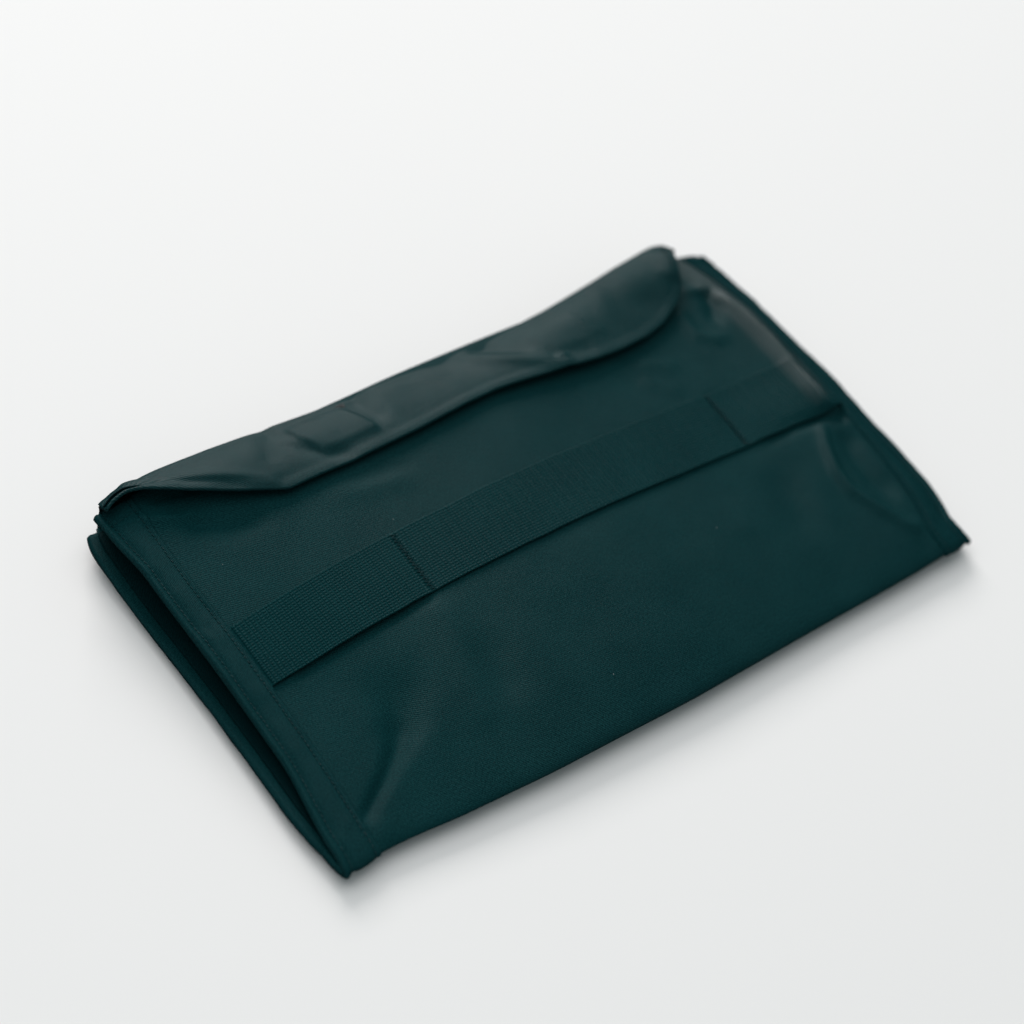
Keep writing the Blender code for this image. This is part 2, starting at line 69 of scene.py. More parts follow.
def ease(t):
    """Smooth step from 0 to 1."""
    t = np.clip(t, 0.0, 1.0)
    return t * t * (3 - 2 * t)


def lerp(a, b, t):
    return a + (b - a) * t


def curve(points, blur):
    """A function through (place, value) points, blurred by `blur` mm, with straight ends."""
    step, margin = 0.25, 60
    places, values = np.array(points, float).T
    grid = np.arange(places[0] - margin, places[-1] + margin, step)
    line = np.interp(grid, places, values)
    first = (values[1] - values[0]) / (places[1] - places[0])
    last = (values[-1] - values[-2]) / (places[-1] - places[-2])
    line = np.where(grid < places[0], values[0] + first * (grid - places[0]), line)
    line = np.where(grid > places[-1], values[-1] + last * (grid - places[-1]), line)
    reach = int(blur * 4 / step)
    kernel = np.exp(-0.5 * (np.arange(-reach, reach + 1) * step / blur) ** 2)
    kernel /= kernel.sum()
    padded = np.concatenate([line[0] + first * (np.arange(-reach, 0) * step), line,
                             line[-1] + last * (np.arange(1, reach + 1) * step)])
    line = np.convolve(padded, kernel, "valid")
    return lambda place: np.interp(place, grid, line)


def value_noise(x, y, scale, seed):
    """Smooth noise in -1..1 with features about `scale` across."""
    size = 96
    lattice = np.random.default_rng(seed).uniform(-1, 1, (size, size))
    x, y = x / scale + 1000.5, y / scale + 1000.5
    i, j = np.floor(x).astype(int), np.floor(y).astype(int)
    x_part, y_part = ease(x - i), ease(y - j)

    def row(j):
        return lerp(lattice[i % size, j % size], lattice[(i + 1) % size, j % size], x_part)

    return lerp(row(j), row(j + 1), y_part)


def fold(x, y, points, height, left, right, ends):
    """A ridge (height > 0) or a crease (height < 0) along a line of points. Height and widths
    may vary along it; left and right are its widths on either side, looking along it."""
    points = np.array(points, float)
    spans = np.diff(points, axis=0)
    lengths = np.hypot(spans[:, 0], spans[:, 1])
    starts = np.concatenate([[0], np.cumsum(lengths)])
    nearest = np.full(x.shape, 1e9)
    travelled = np.zeros(x.shape)
    side = np.zeros(x.shape)
    for k in range(len(spans)):
        way = spans[k] / lengths[k]
        from_x, from_y = x - points[k, 0], y - points[k, 1]
        t = np.clip(from_x * way[0] + from_y * way[1], 0, lengths[k])
        gap_x, gap_y = from_x - t * way[0], from_y - t * way[1]
        distance = np.hypot(gap_x, gap_y)
        closer = distance < nearest
        nearest = np.where(closer, distance, nearest)
        travelled = np.where(closer, starts[k] + t, travelled)
        side = np.where(closer, way[0] * gap_y - way[1] * gap_x, side)
    share = travelled / starts[-1]

    def along(values):
        values = np.atleast_1d(np.array(values, float))
        return np.interp(share, np.linspace(0, 1, len(values)), values)

    wide_left, wide_right = along(left), along(right)
    width = lerp(wide_right, wide_left, ease(side / (0.5 * (wide_left + wide_right)) + 0.5))
    fade = ease(share / ends[0]) * ease((1 - share) / ends[1])
    return along(height) * fade * np.exp(-((nearest / width) ** 2))


def stations(*runs):
    """Places along joined runs, each given as (start, stop, step)."""
    made = [runs[0][0]]
    for start, stop, step in runs:
        count = max(1, int(round(abs(stop - start) / step)))
        made += [lerp(start, stop, (k + 1) / count) for k in range(count)]
    return np.array(made)


# =============================================================================
# The pouch's shape
# =============================================================================
HALF_W = 162.0  # half the pouch's width
INNER = 145.0  # the binding tapes' inner edges
HUMP = 11.5  # how far the middle of the front swells

# (v, x) and (v, z) of the front's side edges
edge_left_x = curve([(-90, -163), (-85, -162.5), (-45, -161), (5, -161.5), (46, -163), (88, -163)], 8)
edge_right_x = curve([
    (-90, 155.5), (-83, 157.5), (-72, 161.2), (-60, 163), (-40, 163.2), (-20, 162.4), (6, 162.0),
    (27, 161.2), (48, 159.6), (62, 158), (74, 156), (85, 153.5), (90, 152)], 5)
edge_left_z = curve([(-90, 8.5), (-45, 13.4), (5, 18.6), (46, 22.6), (88, 26)], 8)
edge_right_z = curve([(-90, 9.7), (-60, 11), (-20, 13.5), (20, 15.5), (60, 18.5), (85, 21.5)], 8)
# (u, y) of the bottom fold's tip
tip_y = curve([
    (-162, -86.6), (-153, -86.2), (-144, -85.4), (-128, -86.4), (-113, -88.2), (-68, -91),
    (3, -92.6), (77, -91.4), (125, -91.2), (152, -90.2), (162, -89)], 5)
# (u, share) and (v, share) of the hump
hump_x = curve([
    (-162, 0), (-152, 0.04), (-143, 0.12), (-125, 0.29), (-95, 0.51), (-64, 0.72), (-25, 0.92),
    (15, 1.0), (55, 0.86), (85, 0.68), (98, 0.62), (115, 0.62), (130, 0.70), (141, 0.80),
    (149, 0.66), (156, 0.30), (162, 0.0)], 3.5)
hump_y = curve([
    (-95, 0.0), (-90, 0.10), (-80, 0.36), (-65, 0.62), (-45, 0.82), (-15, 0.95), (20, 1.0),
    (50, 0.98), (70, 0.86), (90, 0.58)], 5)
# (v, shift): how much less ground the cloth covers where it slopes down at the right
steep = curve([
    (-90, 0.6), (-60, 1.3), (-35, 2.2), (-10, 3.8), (10, 4.6), (30, 5.3), (50, 5.3), (68, 4.2),
    (80, 2.6), (90, 1.8)], 6)
# (v, x shift) of the back panel's left edge
back_left = curve([
    (-90, 0.6), (-82, -1.4), (-72, -3.4), (-58, -3.9), (-30, -3.1), (0, -2.6), (30, -2.7),
    (60, -3.3), (78, -3.2), (84, -2.0), (88, 0.5)], 2.5)

# Folds of the front: (u, v) points, height, width to the left of the line, width to its right,
# shares of the length over which it rises and dies away
FRONT_FOLDS = [
    # upper left corner
    ([(-149, 77.5), (-142, 73), (-135, 70.5), (-128, 68.5), (-117, 62)],
     [1.6, 2.0, 2.0, 1.4, 0.8], 2.4, 2.6, (0.08, 0.45)),
    ([(-140, 69), (-133, 65), (-121, 56), (-106, 49)], [-0.8, -1.7, -1.5, -0.6], 4, 6, (0.35, 0.4)),
    ([(-141, 78), (-132, 71), (-123, 63), (-113, 56), (-104, 52), (-95, 50)],
     [-1.2, -2.2, -2.2, -0.8], 7.0, 4.0, (0.2, 0.35)),
    ([(-141, 82), (-128, 80), (-112, 78)], -1.2, 3.0, 2.4, (0.1, 0.4)),
    # lower left corner
    ([(-98, -18), (-104, -34), (-109, -46), (-117, -56), (-126, -64)],
     [-1.2, -3.0, -3.6, -1.8], [16, 13, 9, 6, 4], [15, 12, 8, 6, 4], (0.5, 0.4)),
    ([(-106, -43), (-112, -51), (-119, -58), (-127, -65), (-137, -72), (-146, -78)],
     [-1.4, -2.6, -2.4, -1.6], [6, 4.0, 2.8, 2.2], [6, 3.6, 2.4, 2.0], (0.5, 0.1)),
    ([(-98, -8), (-90, -20), (-87, -32), (-91, -44), (-102, -56), (-114, -66), (-128, -73)],
     [0.3, 0.4, 0.4, 0.3, 0.1], 8, 9, (0.2, 0.3)),
    ([(-64, -8), (-70, -19), (-77, -39), (-80, -53), (-82, -69)], 0.7, 7, 9, (0.18, 0.18)),
    ([(-60, -26), (-63, -46), (-66, -66)], -1.1, 8, 8, (0.4, 0.4)),
    # right-hand end, from the mouth down
    ([(137, 68), (140, 58), (141, 48), (141, 32), (140, 17), (138.5, 2), (140, -9), (145, -15)],
     [1.6, 2.4, 2.8, 2.8, 2.6, 2.8, 3.4, 2.8], 3.0, [3.8, 4.2, 4.6, 4.6, 4.6, 4.4, 4.2],
     (0.12, 0.05)),
    ([(136, 68), (133, 60), (127, 51), (122, 48)], [-1.6, -2.4, -1.0], 3.4, 3.4, (0.2, 0.4)),
    ([(119, 66), (115, 57), (115, 49), (120, 43), (129, 41)],
     [1.0, 1.5, 1.5, 0.8], 2.6, 3.0, (0.15, 0.3)),
    ([(126, 71), (132, 69), (138, 66)], 1.2, 2.6, 2.6, (0.2, 0.2)),
    ([(133, -12), (126, -25), (122, -37), (122, -47), (128, -60), (136, -72), (147, -80)],
     [1.4, 2.2, 2.2, 2.0, 1.5], 2.1, 2.4, (0.12, 0.15)),
    ([(138, -20), (134, -34), (134, -48), (141, -64)], -2.0, 6, 4, (0.2, 0.3)),
    # shallow folds below and above the webbing
    ([(98, -18), (95, -38), (87, -62)], -1.0, 9, 9, (0.35, 0.35)),
    ([(112, -24), (108, -44), (104, -62)], 0.5, 8, 7, (0.35, 0.35)),
    ([(72, -24), (66, -50)], 0.5, 10, 10, (0.4, 0.4)),
    ([(-18, -28), (-24, -58)], -0.5, 13, 13, (0.4, 0.4)),
    ([(78, 49), (98, 37)], 0.6, 3, 4, (0.3, 0.3)),
    ([(74, 41), (90, 24)], 0.6, 3, 4, (0.3, 0.3)),
    ([(60, 47), (80, 30), (88, 12)], -0.5, 7, 7, (0.3, 0.3)),
    ([(-84, 50), (-60, 44), (-40, 40)], 0.6, 4, 5, (0.3, 0.3)),
    ([(-72, 52), (-50, 49), (-36, 46)], -0.5, 3.5, 3.5, (0.3, 0.3)),
    # along the webbing's lower edge, and across under its tacks
    ([(-138, -12.5), (-112, -9), (-88, -8), (-66, -8)], -1.0, 3, 3, (0.1, 0.1)),
    ([(100, -11), (120, -10), (136, -13), (146, -19)], [-0.6, -1.2, -2.2, -1.6], 3.5, 3, (0.15, 0.1)),
    ([(98, 22), (98, -9)], -0.5, 5, 5, (0.1, 0.1)),
    ([(-65, 22), (-65, -9)], -0.5, 5, 5, (0.1, 0.1)),
]


def base_height(u, v):
    """The front without its folds."""
    t = (u + HALF_W) / (2 * HALF_W)
    return lerp(edge_left_z(v), edge_right_z(v), t) + HUMP * hump_x(u) * hump_y(v)


def folded_height(u, v):
    z = base_height(u, v)
    for row in FRONT_FOLDS:
        z = z + fold(u, v, *row)
    inside = ease((HALF_W - np.abs(u)) / 30.0)
    noise = (0.40 * value_noise(u, v, 34.0, 3) + 0.13 * value_noise(u, v, 15.0, 5)
             + 0.03 * value_noise(u, v, 6.0, 8))
    return z + inside * noise


def blurred(field, cells):
    """A Gaussian blur of a height field."""
    reach = 12
    kernel = np.exp(-0.5 * (np.arange(-reach, reach + 1) / cells) ** 2)
    kernel /= kernel.sum()
    for axis in (0, 1):
        pad = [(reach, reach) if q == axis else (0, 0) for q in (0, 1)]
        wide = np.pad(field, pad, mode="reflect", reflect_type="odd")
        places = np.arange(field.shape[axis])
        field = sum(w * np.take(wide, places + i, axis=axis) for i, w in enumerate(kernel))
    return field


CELL = 0.5
field_u = np.arange(-172, 172 + CELL, CELL)
field_v = np.arange(-92, 96 + CELL, CELL)
# The front's height, looked up by front_height. The webbing section swaps it for a smoother one.
front_field = blurred(folded_height(*np.meshgrid(field_u, field_v, indexing="ij")), 1.5)


def front_height(u, v):
    u, v = np.broadcast_arrays(np.asarray(u, float), np.asarray(v, float))
    column = np.clip((u - field_u[0]) / CELL, 0, len(field_u) - 1.001)
    row = np.clip((v - field_v[0]) / CELL, 0, len(field_v) - 1.001)
    i, j = column.astype(int), row.astype(int)
    near = lerp(front_field[i, j], front_field[i + 1, j], column - i)
    far = lerp(front_field[i, j + 1], front_field[i + 1, j + 1], column - i)
    return lerp(near, far, row - j)


def shift_x(u, v):
    """The x at which a point u along the cloth comes to lie."""
    right = edge_right_x(v) - HALF_W
    left = edge_left_x(v) + HALF_W
    x = u + right * ease((u - 30) / 132.0) + left * ease((-u - 30) / 132.0)
    return x + steep(v) * ease((u - 60) / 84.0) * ease((HALF_W - u) / 20.0)


def bottom_shift(u, v):
    return (tip_y(u) + 90.5) * ease((20 - v) / 98.0)


def front_xyz(u, v):
    u, v = np.broadcast_arrays(np.asarray(u, float), np.asarray(v, float))
    droop = 2.4 * ease((v - 76) / 12) * ease((-u - 145) / 17)  # upper left corner
    return np.stack([shift_x(u, v), v + bottom_shift(u, v), front_height(u, v) - droop], -1)


def back_lift(u):
    """The back panel's upper left corner curls up off the table."""
    return 3.0 * ease((-u - 118) / 44)


def corner_out(u):
    """How far the back panel's upper left corner reaches beyond the rest of its edge."""
    return 4.4 * ease((-u - 112) / 45)


def back_xyz(u, v):
    x = u + back_left(v) * ease((-u - 90) / 72) + 1.0 * ease((u - 90) / 72)
    y = v + bottom_shift(u, v) * 0.9 + corner_out(u) * ease((v - 50) / 37)
    near_side = ease((np.abs(u) - 95.0) / 67.0)
    near_bottom = ease((-35.0 - v) / 50.0)
    z = 0.35 + 4.6 * (1 - (1 - near_side) * (1 - near_bottom)) + back_lift(u) * ease((v - 40) / 46)
    return np.stack([x, y, z], -1)


# v at the mouth, where the front and the back meet the bottom fold, and at the spine
V_TOP, V_FOLD, V_BACK = 88.0, -78.0, 87.5
FRONT_LEN, BEND_LEN, BACK_LEN = V_TOP - V_FOLD, 26, V_BACK - V_FOLD
TO_BACK = FRONT_LEN + BEND_LEN


def front_v(wrap):
    return lerp(V_TOP, V_FOLD, np.clip(wrap, 0, 1))


def front_wrap(v):
    return (V_TOP - v) / FRONT_LEN


def wrap_length(wrap):
    """Length of cloth from the mouth, round the wrap."""
    bend = np.where(wrap < 2, FRONT_LEN + (wrap - 1) * BEND_LEN, TO_BACK + (wrap - 2) * BACK_LEN)
    return np.where(wrap <= 1, wrap * FRONT_LEN, bend)


def wrap_at(length):
    bend = np.where(length < TO_BACK, 1 + (length - FRONT_LEN) / BEND_LEN,
                    2 + (length - TO_BACK) / BACK_LEN)
    return np.where(length <= FRONT_LEN, length / FRONT_LEN, bend)


def hermite(start, end, start_pull, end_pull, t):
    return ((2 * t**3 - 3 * t**2 + 1) * start + (t**3 - 2 * t**2 + t) * start_pull
            + (-2 * t**3 + 3 * t**2) * end + (t**3 - t**2) * end_pull)


def bend_xyz(u, t):
    """The bottom fold: two curves in Y and Z, meeting at its tip. t runs 0-1 from front to back."""
    front, back = front_xyz(u, V_FOLD), back_xyz(u, V_FOLD)
    front_way = (front - front_xyz(u, V_FOLD + 2.0))[:, 1:]
    back_way = (back - back_xyz(u, V_FOLD + 2.0))[:, 1:]
    front_way = front_way / np.linalg.norm(front_way, axis=1)[:, None]
    back_way = back_way / np.linalg.norm(back_way, axis=1)[:, None]
    tip = np.stack([tip_y(u), back[:, 2] + 0.42 * (front[:, 2] - back[:, 2])], -1)
    into_tip = np.stack([0 * t, -1.5 * (front[:, 2] - tip[:, 1])], -1)
    out_of_tip = np.stack([0 * t, -1.5 * (tip[:, 1] - back[:, 2])], -1)
    from_front = front_way * (1.25 * (front[:, 1] - tip[:, 0]))[:, None]
    to_back = -back_way * (1.25 * (back[:, 1] - tip[:, 0]))[:, None]
    upper = hermite(front[:, 1:], tip, from_front, into_tip, np.clip(t * 2, 0, 1)[:, None])
    lower = hermite(tip, back[:, 1:], out_of_tip, to_back, np.clip(t * 2 - 1, 0, 1)[:, None])
    yz = np.where((t * 2 >= 1)[:, None], lower, upper)
    return np.stack([lerp(front[:, 0], back[:, 0], ease(t)), yz[:, 0], yz[:, 1]], -1)


def wrap_xyz(u, wrap):
    u, wrap = np.broadcast_arrays(np.asarray(u, float), np.asarray(wrap, float))
    back_v = lerp(V_FOLD, V_BACK, np.clip(wrap - 2, 0, 1))
    on_front = (wrap <= 1.5)[..., None]
    points = np.where(on_front, front_xyz(u, front_v(wrap)), back_xyz(u, back_v))
    bend = (wrap > 1) & (wrap < 2)
    if bend.any():
        points[bend] = bend_xyz(u[bend], wrap[bend] - 1)
    return points


def wrap_frame(u, wrap):
    """Point and outward unit normal."""
    along = wrap_xyz(u + 0.4, wrap) - wrap_xyz(u - 0.4, wrap)
    nudge = 0.004
    round_ = (wrap_xyz(u, np.minimum(wrap + nudge, 3.0))
              - wrap_xyz(u, np.maximum(wrap - nudge, 0.0)))
    normal = -np.cross(along, round_)
    normal /= np.maximum(np.linalg.norm(normal, axis=-1), 1e-9)[..., None]
    return wrap_xyz(u, wrap), normal


def wrap_off(u, wrap, off):
    u, wrap, off = np.broadcast_arrays(*(np.asarray(q, float) for q in (u, wrap, off)))
    point, normal = wrap_frame(u, wrap)
    return point + normal * off[..., None]


def front_off(u, v, off):
    return wrap_off(u, front_wrap(np.asarray(v, float)), off)


# =============================================================================
# Mesh makers
# =============================================================================


def mesh_object(name, points, quads, mat, uv=None, flip=False):
    """An object from points in mm and quads."""
    if flip:
        quads = quads[:, ::-1]
    mesh = bpy.data.meshes.new(name)
    mesh.vertices.add(len(points))
    mesh.vertices.foreach_set("co", (points * MM).astype(np.float32).ravel())
    mesh.loops.add(len(quads) * 4)
    mesh.loops.foreach_set("vertex_index", quads.astype(np.int32).ravel())
    mesh.polygons.add(len(quads))
    mesh.polygons.foreach_set("loop_start", np.arange(0, len(quads) * 4, 4, dtype=np.int32))
    if uv is not None:
        layer = mesh.uv_layers.new(name="flat")
        layer.data.foreach_set("uv", np.asarray(uv, np.float32)[quads.ravel()].ravel())
    mesh.update(calc_edges=True)
    mesh.validate()
    mesh.shade_smooth()
    mesh.materials.append(mat)
    made = bpy.data.objects.new(name, mesh)
    bpy.context.scene.collection.objects.link(made)
    return made


def grid_quads(rows, columns):
    i, j = np.meshgrid(np.arange(rows - 1), np.arange(columns - 1), indexing="ij")
    near = i * columns + j
    far = (i + 1) * columns + j
    return np.stack([near, far, far + 1, near + 1], -1).reshape(-1, 4)


def grid_object(name, points, mat, uv, flip=False):
    quads = grid_quads(*points.shape[:2])
    return mesh_object(name, points.reshape(-1, 3), quads, mat, uv.reshape(-1, 2), flip)


def thicken(made, thickness, offset=-1.0):
    solidify = made.modifiers.new("thickness", "SOLIDIFY")
    solidify.thickness = thickness * MM
    solidify.offset = offset
    solidify.use_rim = True


def attach(made, part, stands_for):
    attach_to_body(made, part)
    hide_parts(stands_for)


def stitch(start, end, up, radius):
    """A slightly flattened, arched capsule: its points and quads."""
    rings, sides, flatness = 6, 8, 0.75
    start, end, up = (np.array(q, float) for q in (start, end, up))
    way = end - start
    length = np.linalg.norm(way)
    way /= length
    across = np.cross(up, way)
    across /= np.linalg.norm(across)
    up = np.cross(way, across)
    turn = np.linspace(0.12, math.pi - 0.12, rings)
    share = (1 - np.cos(turn)) / 2
    swell = np.sin(turn) ** 0.45
    angle = np.linspace(0, 2 * math.pi, sides, endpoint=False)
    arch = np.sin(share * math.pi) * radius * 0.5
    middle = start + way * (share * length)[:, None] + up * arch[:, None]
    ring = (np.cos(angle)[None, :, None] * across
            + flatness * np.sin(angle)[None, :, None] * up)
    points = middle[:, None, :] + radius * swell[:, None, None] * ring
    index = np.arange(rings * sides).reshape(rings, sides)
    tube = np.stack([index[:-1], np.roll(index[:-1], -1, 1), np.roll(index[1:], -1, 1), index[1:]],
                    -1).reshape(-1, 4)
    caps = [[row[0], row[k], row[k + 1], row[k + 2]]
            for row in (index[0][::-1], index[-1]) for k in range(1, sides - 2, 2)]
    return points.reshape(-1, 3), np.concatenate([tube, np.array(caps)])


def stitch_object(name, stitches, mat, stands_for):
    """Joins stitches into one object."""
    points, quads, count = [], [], 0
    for stitch_points, stitch_quads in stitches:
        points.append(stitch_points)
        quads.append(stitch_quads + count)
        count += len(stitch_points)
    made = mesh_object(name, np.concatenate(points), np.concatenate(quads), mat)
    attach(made, "pouch", stands_for)


def slab(name, u_span, v_span, place, thick, mat, step, pad=0.35, flip=False):
    """A flat piece laid over a surface, rounded at its rim.
    place(u, v, off) gives a point off above the surface."""
    u, v = np.meshgrid(stations((*u_span, step)), stations((*v_span, step)), indexing="ij")
    near = np.minimum(np.minimum(u - u_span[0], u_span[1] - u),
                      np.minimum(v - v_span[0], v_span[1] - v))
    crown = pad * (1 - ease(near / 1.2))
    fluff = 0.12 * value_noise(u, v, 1.3, 61) + 0.10 * value_noise(u, v, 3.1, 62)
    points = place(u, v, thick - crown + fluff * ease(near / 1.0))
    made = grid_object(name, points, mat, np.stack([u, v], -1), flip)
    thicken(made, thick - pad)
    return made


# =============================================================================
# Materials
# =============================================================================


class Graph:
    """A new material and its node tree."""

    def __init__(self, name):
        self.material = bpy.data.materials.new(name)
        self.material.use_nodes = True
        self.tree = self.material.node_tree

    def feed(self, socket, value):
        """Links a socket to another, or sets it to a number or an (r, g, b) colour."""
        if isinstance(value, bpy.types.NodeSocket):
            self.tree.links.new(value, socket)
        else:
            socket.default_value = (*value, 1.0) if isinstance(value, tuple) else value

    def node(self, kind, **values):
        """A node with its inputs and properties given by name."""
        made = self.tree.nodes.new(kind)
        for key, value in values.items():
            if key in made.inputs:
                self.feed(made.inputs[key], value)
            else:
                setattr(made, key, value)
        return made

    def math(self, operation, *values, clamp=False):
        made = self.node("ShaderNodeMath", operation=operation, use_clamp=clamp)
        for socket, value in zip(made.inputs, values):
            self.feed(socket, value)
        return made.outputs[0]

    def mix(self, share, low, high):
        made = self.node("ShaderNodeMix", data_type="RGBA", clamp_factor=True)
        for index, value in ((0, share), (6, low), (7, high)):
            self.feed(made.inputs[index], value)
        return made.outputs[2]


def cloth(name, dark, light, rough=0.62, sheen=0.25, spec=0.35, twill=0.9, angle=-48.0, warp=0.45,
          bump=0.25, grain=0.8, lint=0.0, rib=None, source="flat", painted_shine=None):
    """A woven cloth, its pattern in mm.
    dark, light: the dye's two shades; twill, angle: pitch and direction in degrees of the diagonal;
    warp: pitch of the yarns; bump: relief; grain: relief of the slubs; lint: share of flecks;
    rib: (pitch along, pitch across) of a ribbed weave; source: "flat" UVs or "object" coordinates;
    painted_shine: (start, stop, specular) of a painted highlight, a specular level that grows with x
    towards the right-hand end and falls towards the left as painted shade."""
    graph = Graph(name)
    calc = graph.math
    graph.tree.nodes.clear()
    output = graph.node("ShaderNodeOutputMaterial")
    surface = graph.node("ShaderNodeBsdfPrincipled")
    graph.feed(output.inputs[0], surface.outputs[0])
    if source == "flat":
        place = graph.node("ShaderNodeUVMap", uv_map="flat").outputs[0]
    else:
        metres = graph.node("ShaderNodeTexCoord").outputs["Object"]
        place = graph.node("ShaderNodeVectorMath", operation="SCALE", Vector=metres,
                           Scale=1000.0).outputs[0]
    split = graph.node("ShaderNodeSeparateXYZ")
    graph.feed(split.inputs[0], place)
    x, y = split.outputs[0], split.outputs[1]

    def noise(scale, detail, roughness=0.5):
        return graph.node("ShaderNodeTexNoise", Vector=place, Scale=scale, Detail=detail,
                          Roughness=roughness).outputs[0]

    def wave(place, pitch):
        turns = calc("MULTIPLY_ADD", place, 2 * math.pi / pitch, 0.0)
        return calc("MULTIPLY_ADD", calc("SINE", turns), 0.5, 0.5)

    def vary(source, amount, base, clamp=False):
        """Adds noise, centred on nought, to a base."""
        return calc("MULTIPLY_ADD", calc("SUBTRACT", source, 0.5), amount, base, clamp=clamp)

    # twill lines, drifting slightly so that they aren't ruled
    drift = calc("MULTIPLY", calc("SUBTRACT", noise(scale=0.09, detail=2.0), 0.5), 1.0)
    turn = math.radians(angle)
    across = calc("ADD", calc("MULTIPLY", x, -math.sin(turn)), calc("MULTIPLY", y, math.cos(turn)))
    across = calc("ADD", across, drift)
    along = calc("ADD", calc("MULTIPLY", x, math.cos(turn)), calc("MULTIPLY", y, math.sin(turn)))
    line = wave(across, twill)
    yarn = wave(along, warp)
    weave = calc("MULTIPLY_ADD", calc("MULTIPLY", line, yarn), 0.45, calc("MULTIPLY", line, 0.55))

    # colour: weave and fuzz in equal parts, then slubs and wide blots
    fuzz = noise(scale=2.6, detail=3.0, roughness=0.7)
    slub = noise(scale=1.5, detail=2.0, roughness=0.7)
    blot = noise(scale=0.035, detail=4.0, roughness=0.6)
    shade = calc("ADD", calc("MULTIPLY", weave, 0.5), calc("MULTIPLY", fuzz, 0.5))
    shade = vary(slub, 2.6, shade)
    shade = vary(blot, 0.5, shade, clamp=True)
    colour = graph.mix(shade, dark, light)
    if lint:
        cells = graph.node("ShaderNodeTexVoronoi", Vector=place, Scale=0.16, Randomness=1.0)
        fleck = calc("LESS_THAN", cells.outputs["Distance"], 0.035)
        chance = graph.node("ShaderNodeSeparateColor")
        graph.feed(chance.inputs[0], cells.outputs["Color"])
        fleck = calc("MULTIPLY", fleck, calc("GREATER_THAN", chance.outputs[0], 1 - lint))
        colour = graph.mix(fleck, colour, (0.16, 0.18, 0.18))
    graph.feed(surface.inputs["Base Color"], colour)
    graph.feed(surface.inputs["Roughness"], vary(blot, 0.16, vary(fuzz, 0.18, rough)))
    surface.inputs["Specular IOR Level"].default_value = spec
    if painted_shine is not None:
        # painted highlight: the specular level rises towards the right-hand end above y = -12;
        # painted shade: it falls to half towards the left
        start, stop, shine = painted_shine
        wear_and_painted_shine = calc("DIVIDE", calc("SUBTRACT", x, start), stop - start, clamp=True)
        above = calc("DIVIDE", calc("ADD", y, 12.0), 12.0, clamp=True)
        wear_and_painted_shine = calc("MULTIPLY", wear_and_painted_shine, above)
        painted_shade_left = calc("DIVIDE", calc("SUBTRACT", -60.0, x), 60.0, clamp=True)
        level = calc("MULTIPLY_ADD", painted_shade_left, -0.5 * spec, spec)
        level = calc("MULTIPLY_ADD", wear_and_painted_shine, shine - spec, level)
        graph.feed(surface.inputs["Specular IOR Level"], level)
    surface.inputs["Sheen Weight"].default_value = sheen
    surface.inputs["Sheen Roughness"].default_value = 0.45
    surface.inputs["Sheen Tint"].default_value = (1, 1, 1, 1)

    # relief
    height = calc("MULTIPLY_ADD", fuzz, 0.5, weave)
    height = calc("MULTIPLY_ADD", slub, grain, height)
    if rib is not None:
        ribs = calc("POWER", wave(x, rib[0]), 0.7)
        rows = calc("POWER", wave(y, rib[1]), 0.7)
        height = calc("MULTIPLY_ADD", calc("MULTIPLY", ribs, rows), 1.6,
                      calc("MULTIPLY", height, 0.25))
    relief = graph.node("ShaderNodeBump", Strength=1.0, Distance=bump * MM, Height=height)
    graph.feed(surface.inputs["Normal"], relief.outputs[0])
    return graph.material


def hard(name, colour, rough, metal=0.0):
    """Finely grained plastic or metal, with lighter worn patches."""
    graph = Graph(name)
    surface = graph.tree.nodes["Principled BSDF"]
    place = graph.node("ShaderNodeTexCoord").outputs["Object"]
    grain = graph.node("ShaderNodeTexNoise", Vector=place, Scale=900.0, Detail=4.0,
                       Roughness=0.6).outputs[0]
    patches = graph.node("ShaderNodeTexNoise", Vector=place, Scale=108.0, Detail=3.0).outputs[0]
    wear_and_painted_shine = tuple(min(1.0, c * 1.9 + 0.01) for c in colour)
    shade = graph.mix(graph.math("MULTIPLY", patches, 0.55), colour, wear_and_painted_shine)
    graph.feed(surface.inputs["Base Color"], shade)
    varied = graph.math("MULTIPLY_ADD", graph.math("SUBTRACT", grain, 0.5), 0.12, rough)
    graph.feed(surface.inputs["Roughness"], varied)
    surface.inputs["Metallic"].default_value = metal
    relief = graph.node("ShaderNodeBump", Strength=0.4, Distance=0.04 * MM, Height=grain)
    graph.feed(surface.inputs["Normal"], relief.outputs[0])
    return graph.material


BODY_DYE = dict(dark=(0.0001, 0.0150, 0.0175), light=(0.0050, 0.0420, 0.0455))
SEWING = dict(rough=0.5, sheen=0.0, twill=0.5, angle=30, source="object", bump=0.12)

TWILL = cloth("twill", **BODY_DYE, rough=0.50, sheen=0.0, spec=0.25, twill=0.8, bump=0.10)
# the front's copy of the body twill: less specular than the flap's, as painted shade on the front,
# with the painted highlight at the right-hand end
FRONT_TWILL = cloth("twill_front", **BODY_DYE, rough=0.50, sheen=0.0, spec=0.12, twill=0.8,
                    bump=0.10, lint=0.05, painted_shine=(132.0, 140.5, 1.0))
BINDING = cloth("binding", dark=(0.0001, 0.0140, 0.0165), light=(0.0050, 0.0400, 0.0435),
                rough=0.55, sheen=0.0, spec=0.055, twill=0.7, angle=20, warp=0.5, bump=0.08)
RIB, CORD = 1.9, 1.25  # pitches of the webbing's weave, along it and across it
# the webbing carries the same painted highlight at the right-hand end and painted shade towards the
# left
WEBBING = cloth("webbing", dark=(0.0001, 0.0150, 0.0175), light=(0.0040, 0.0390, 0.0425),
                rough=0.52, sheen=0.0, spec=0.075, twill=0.8, angle=90, bump=0.20,
                rib=(RIB, CORD), painted_shine=(132.0, 140.5, 0.80))
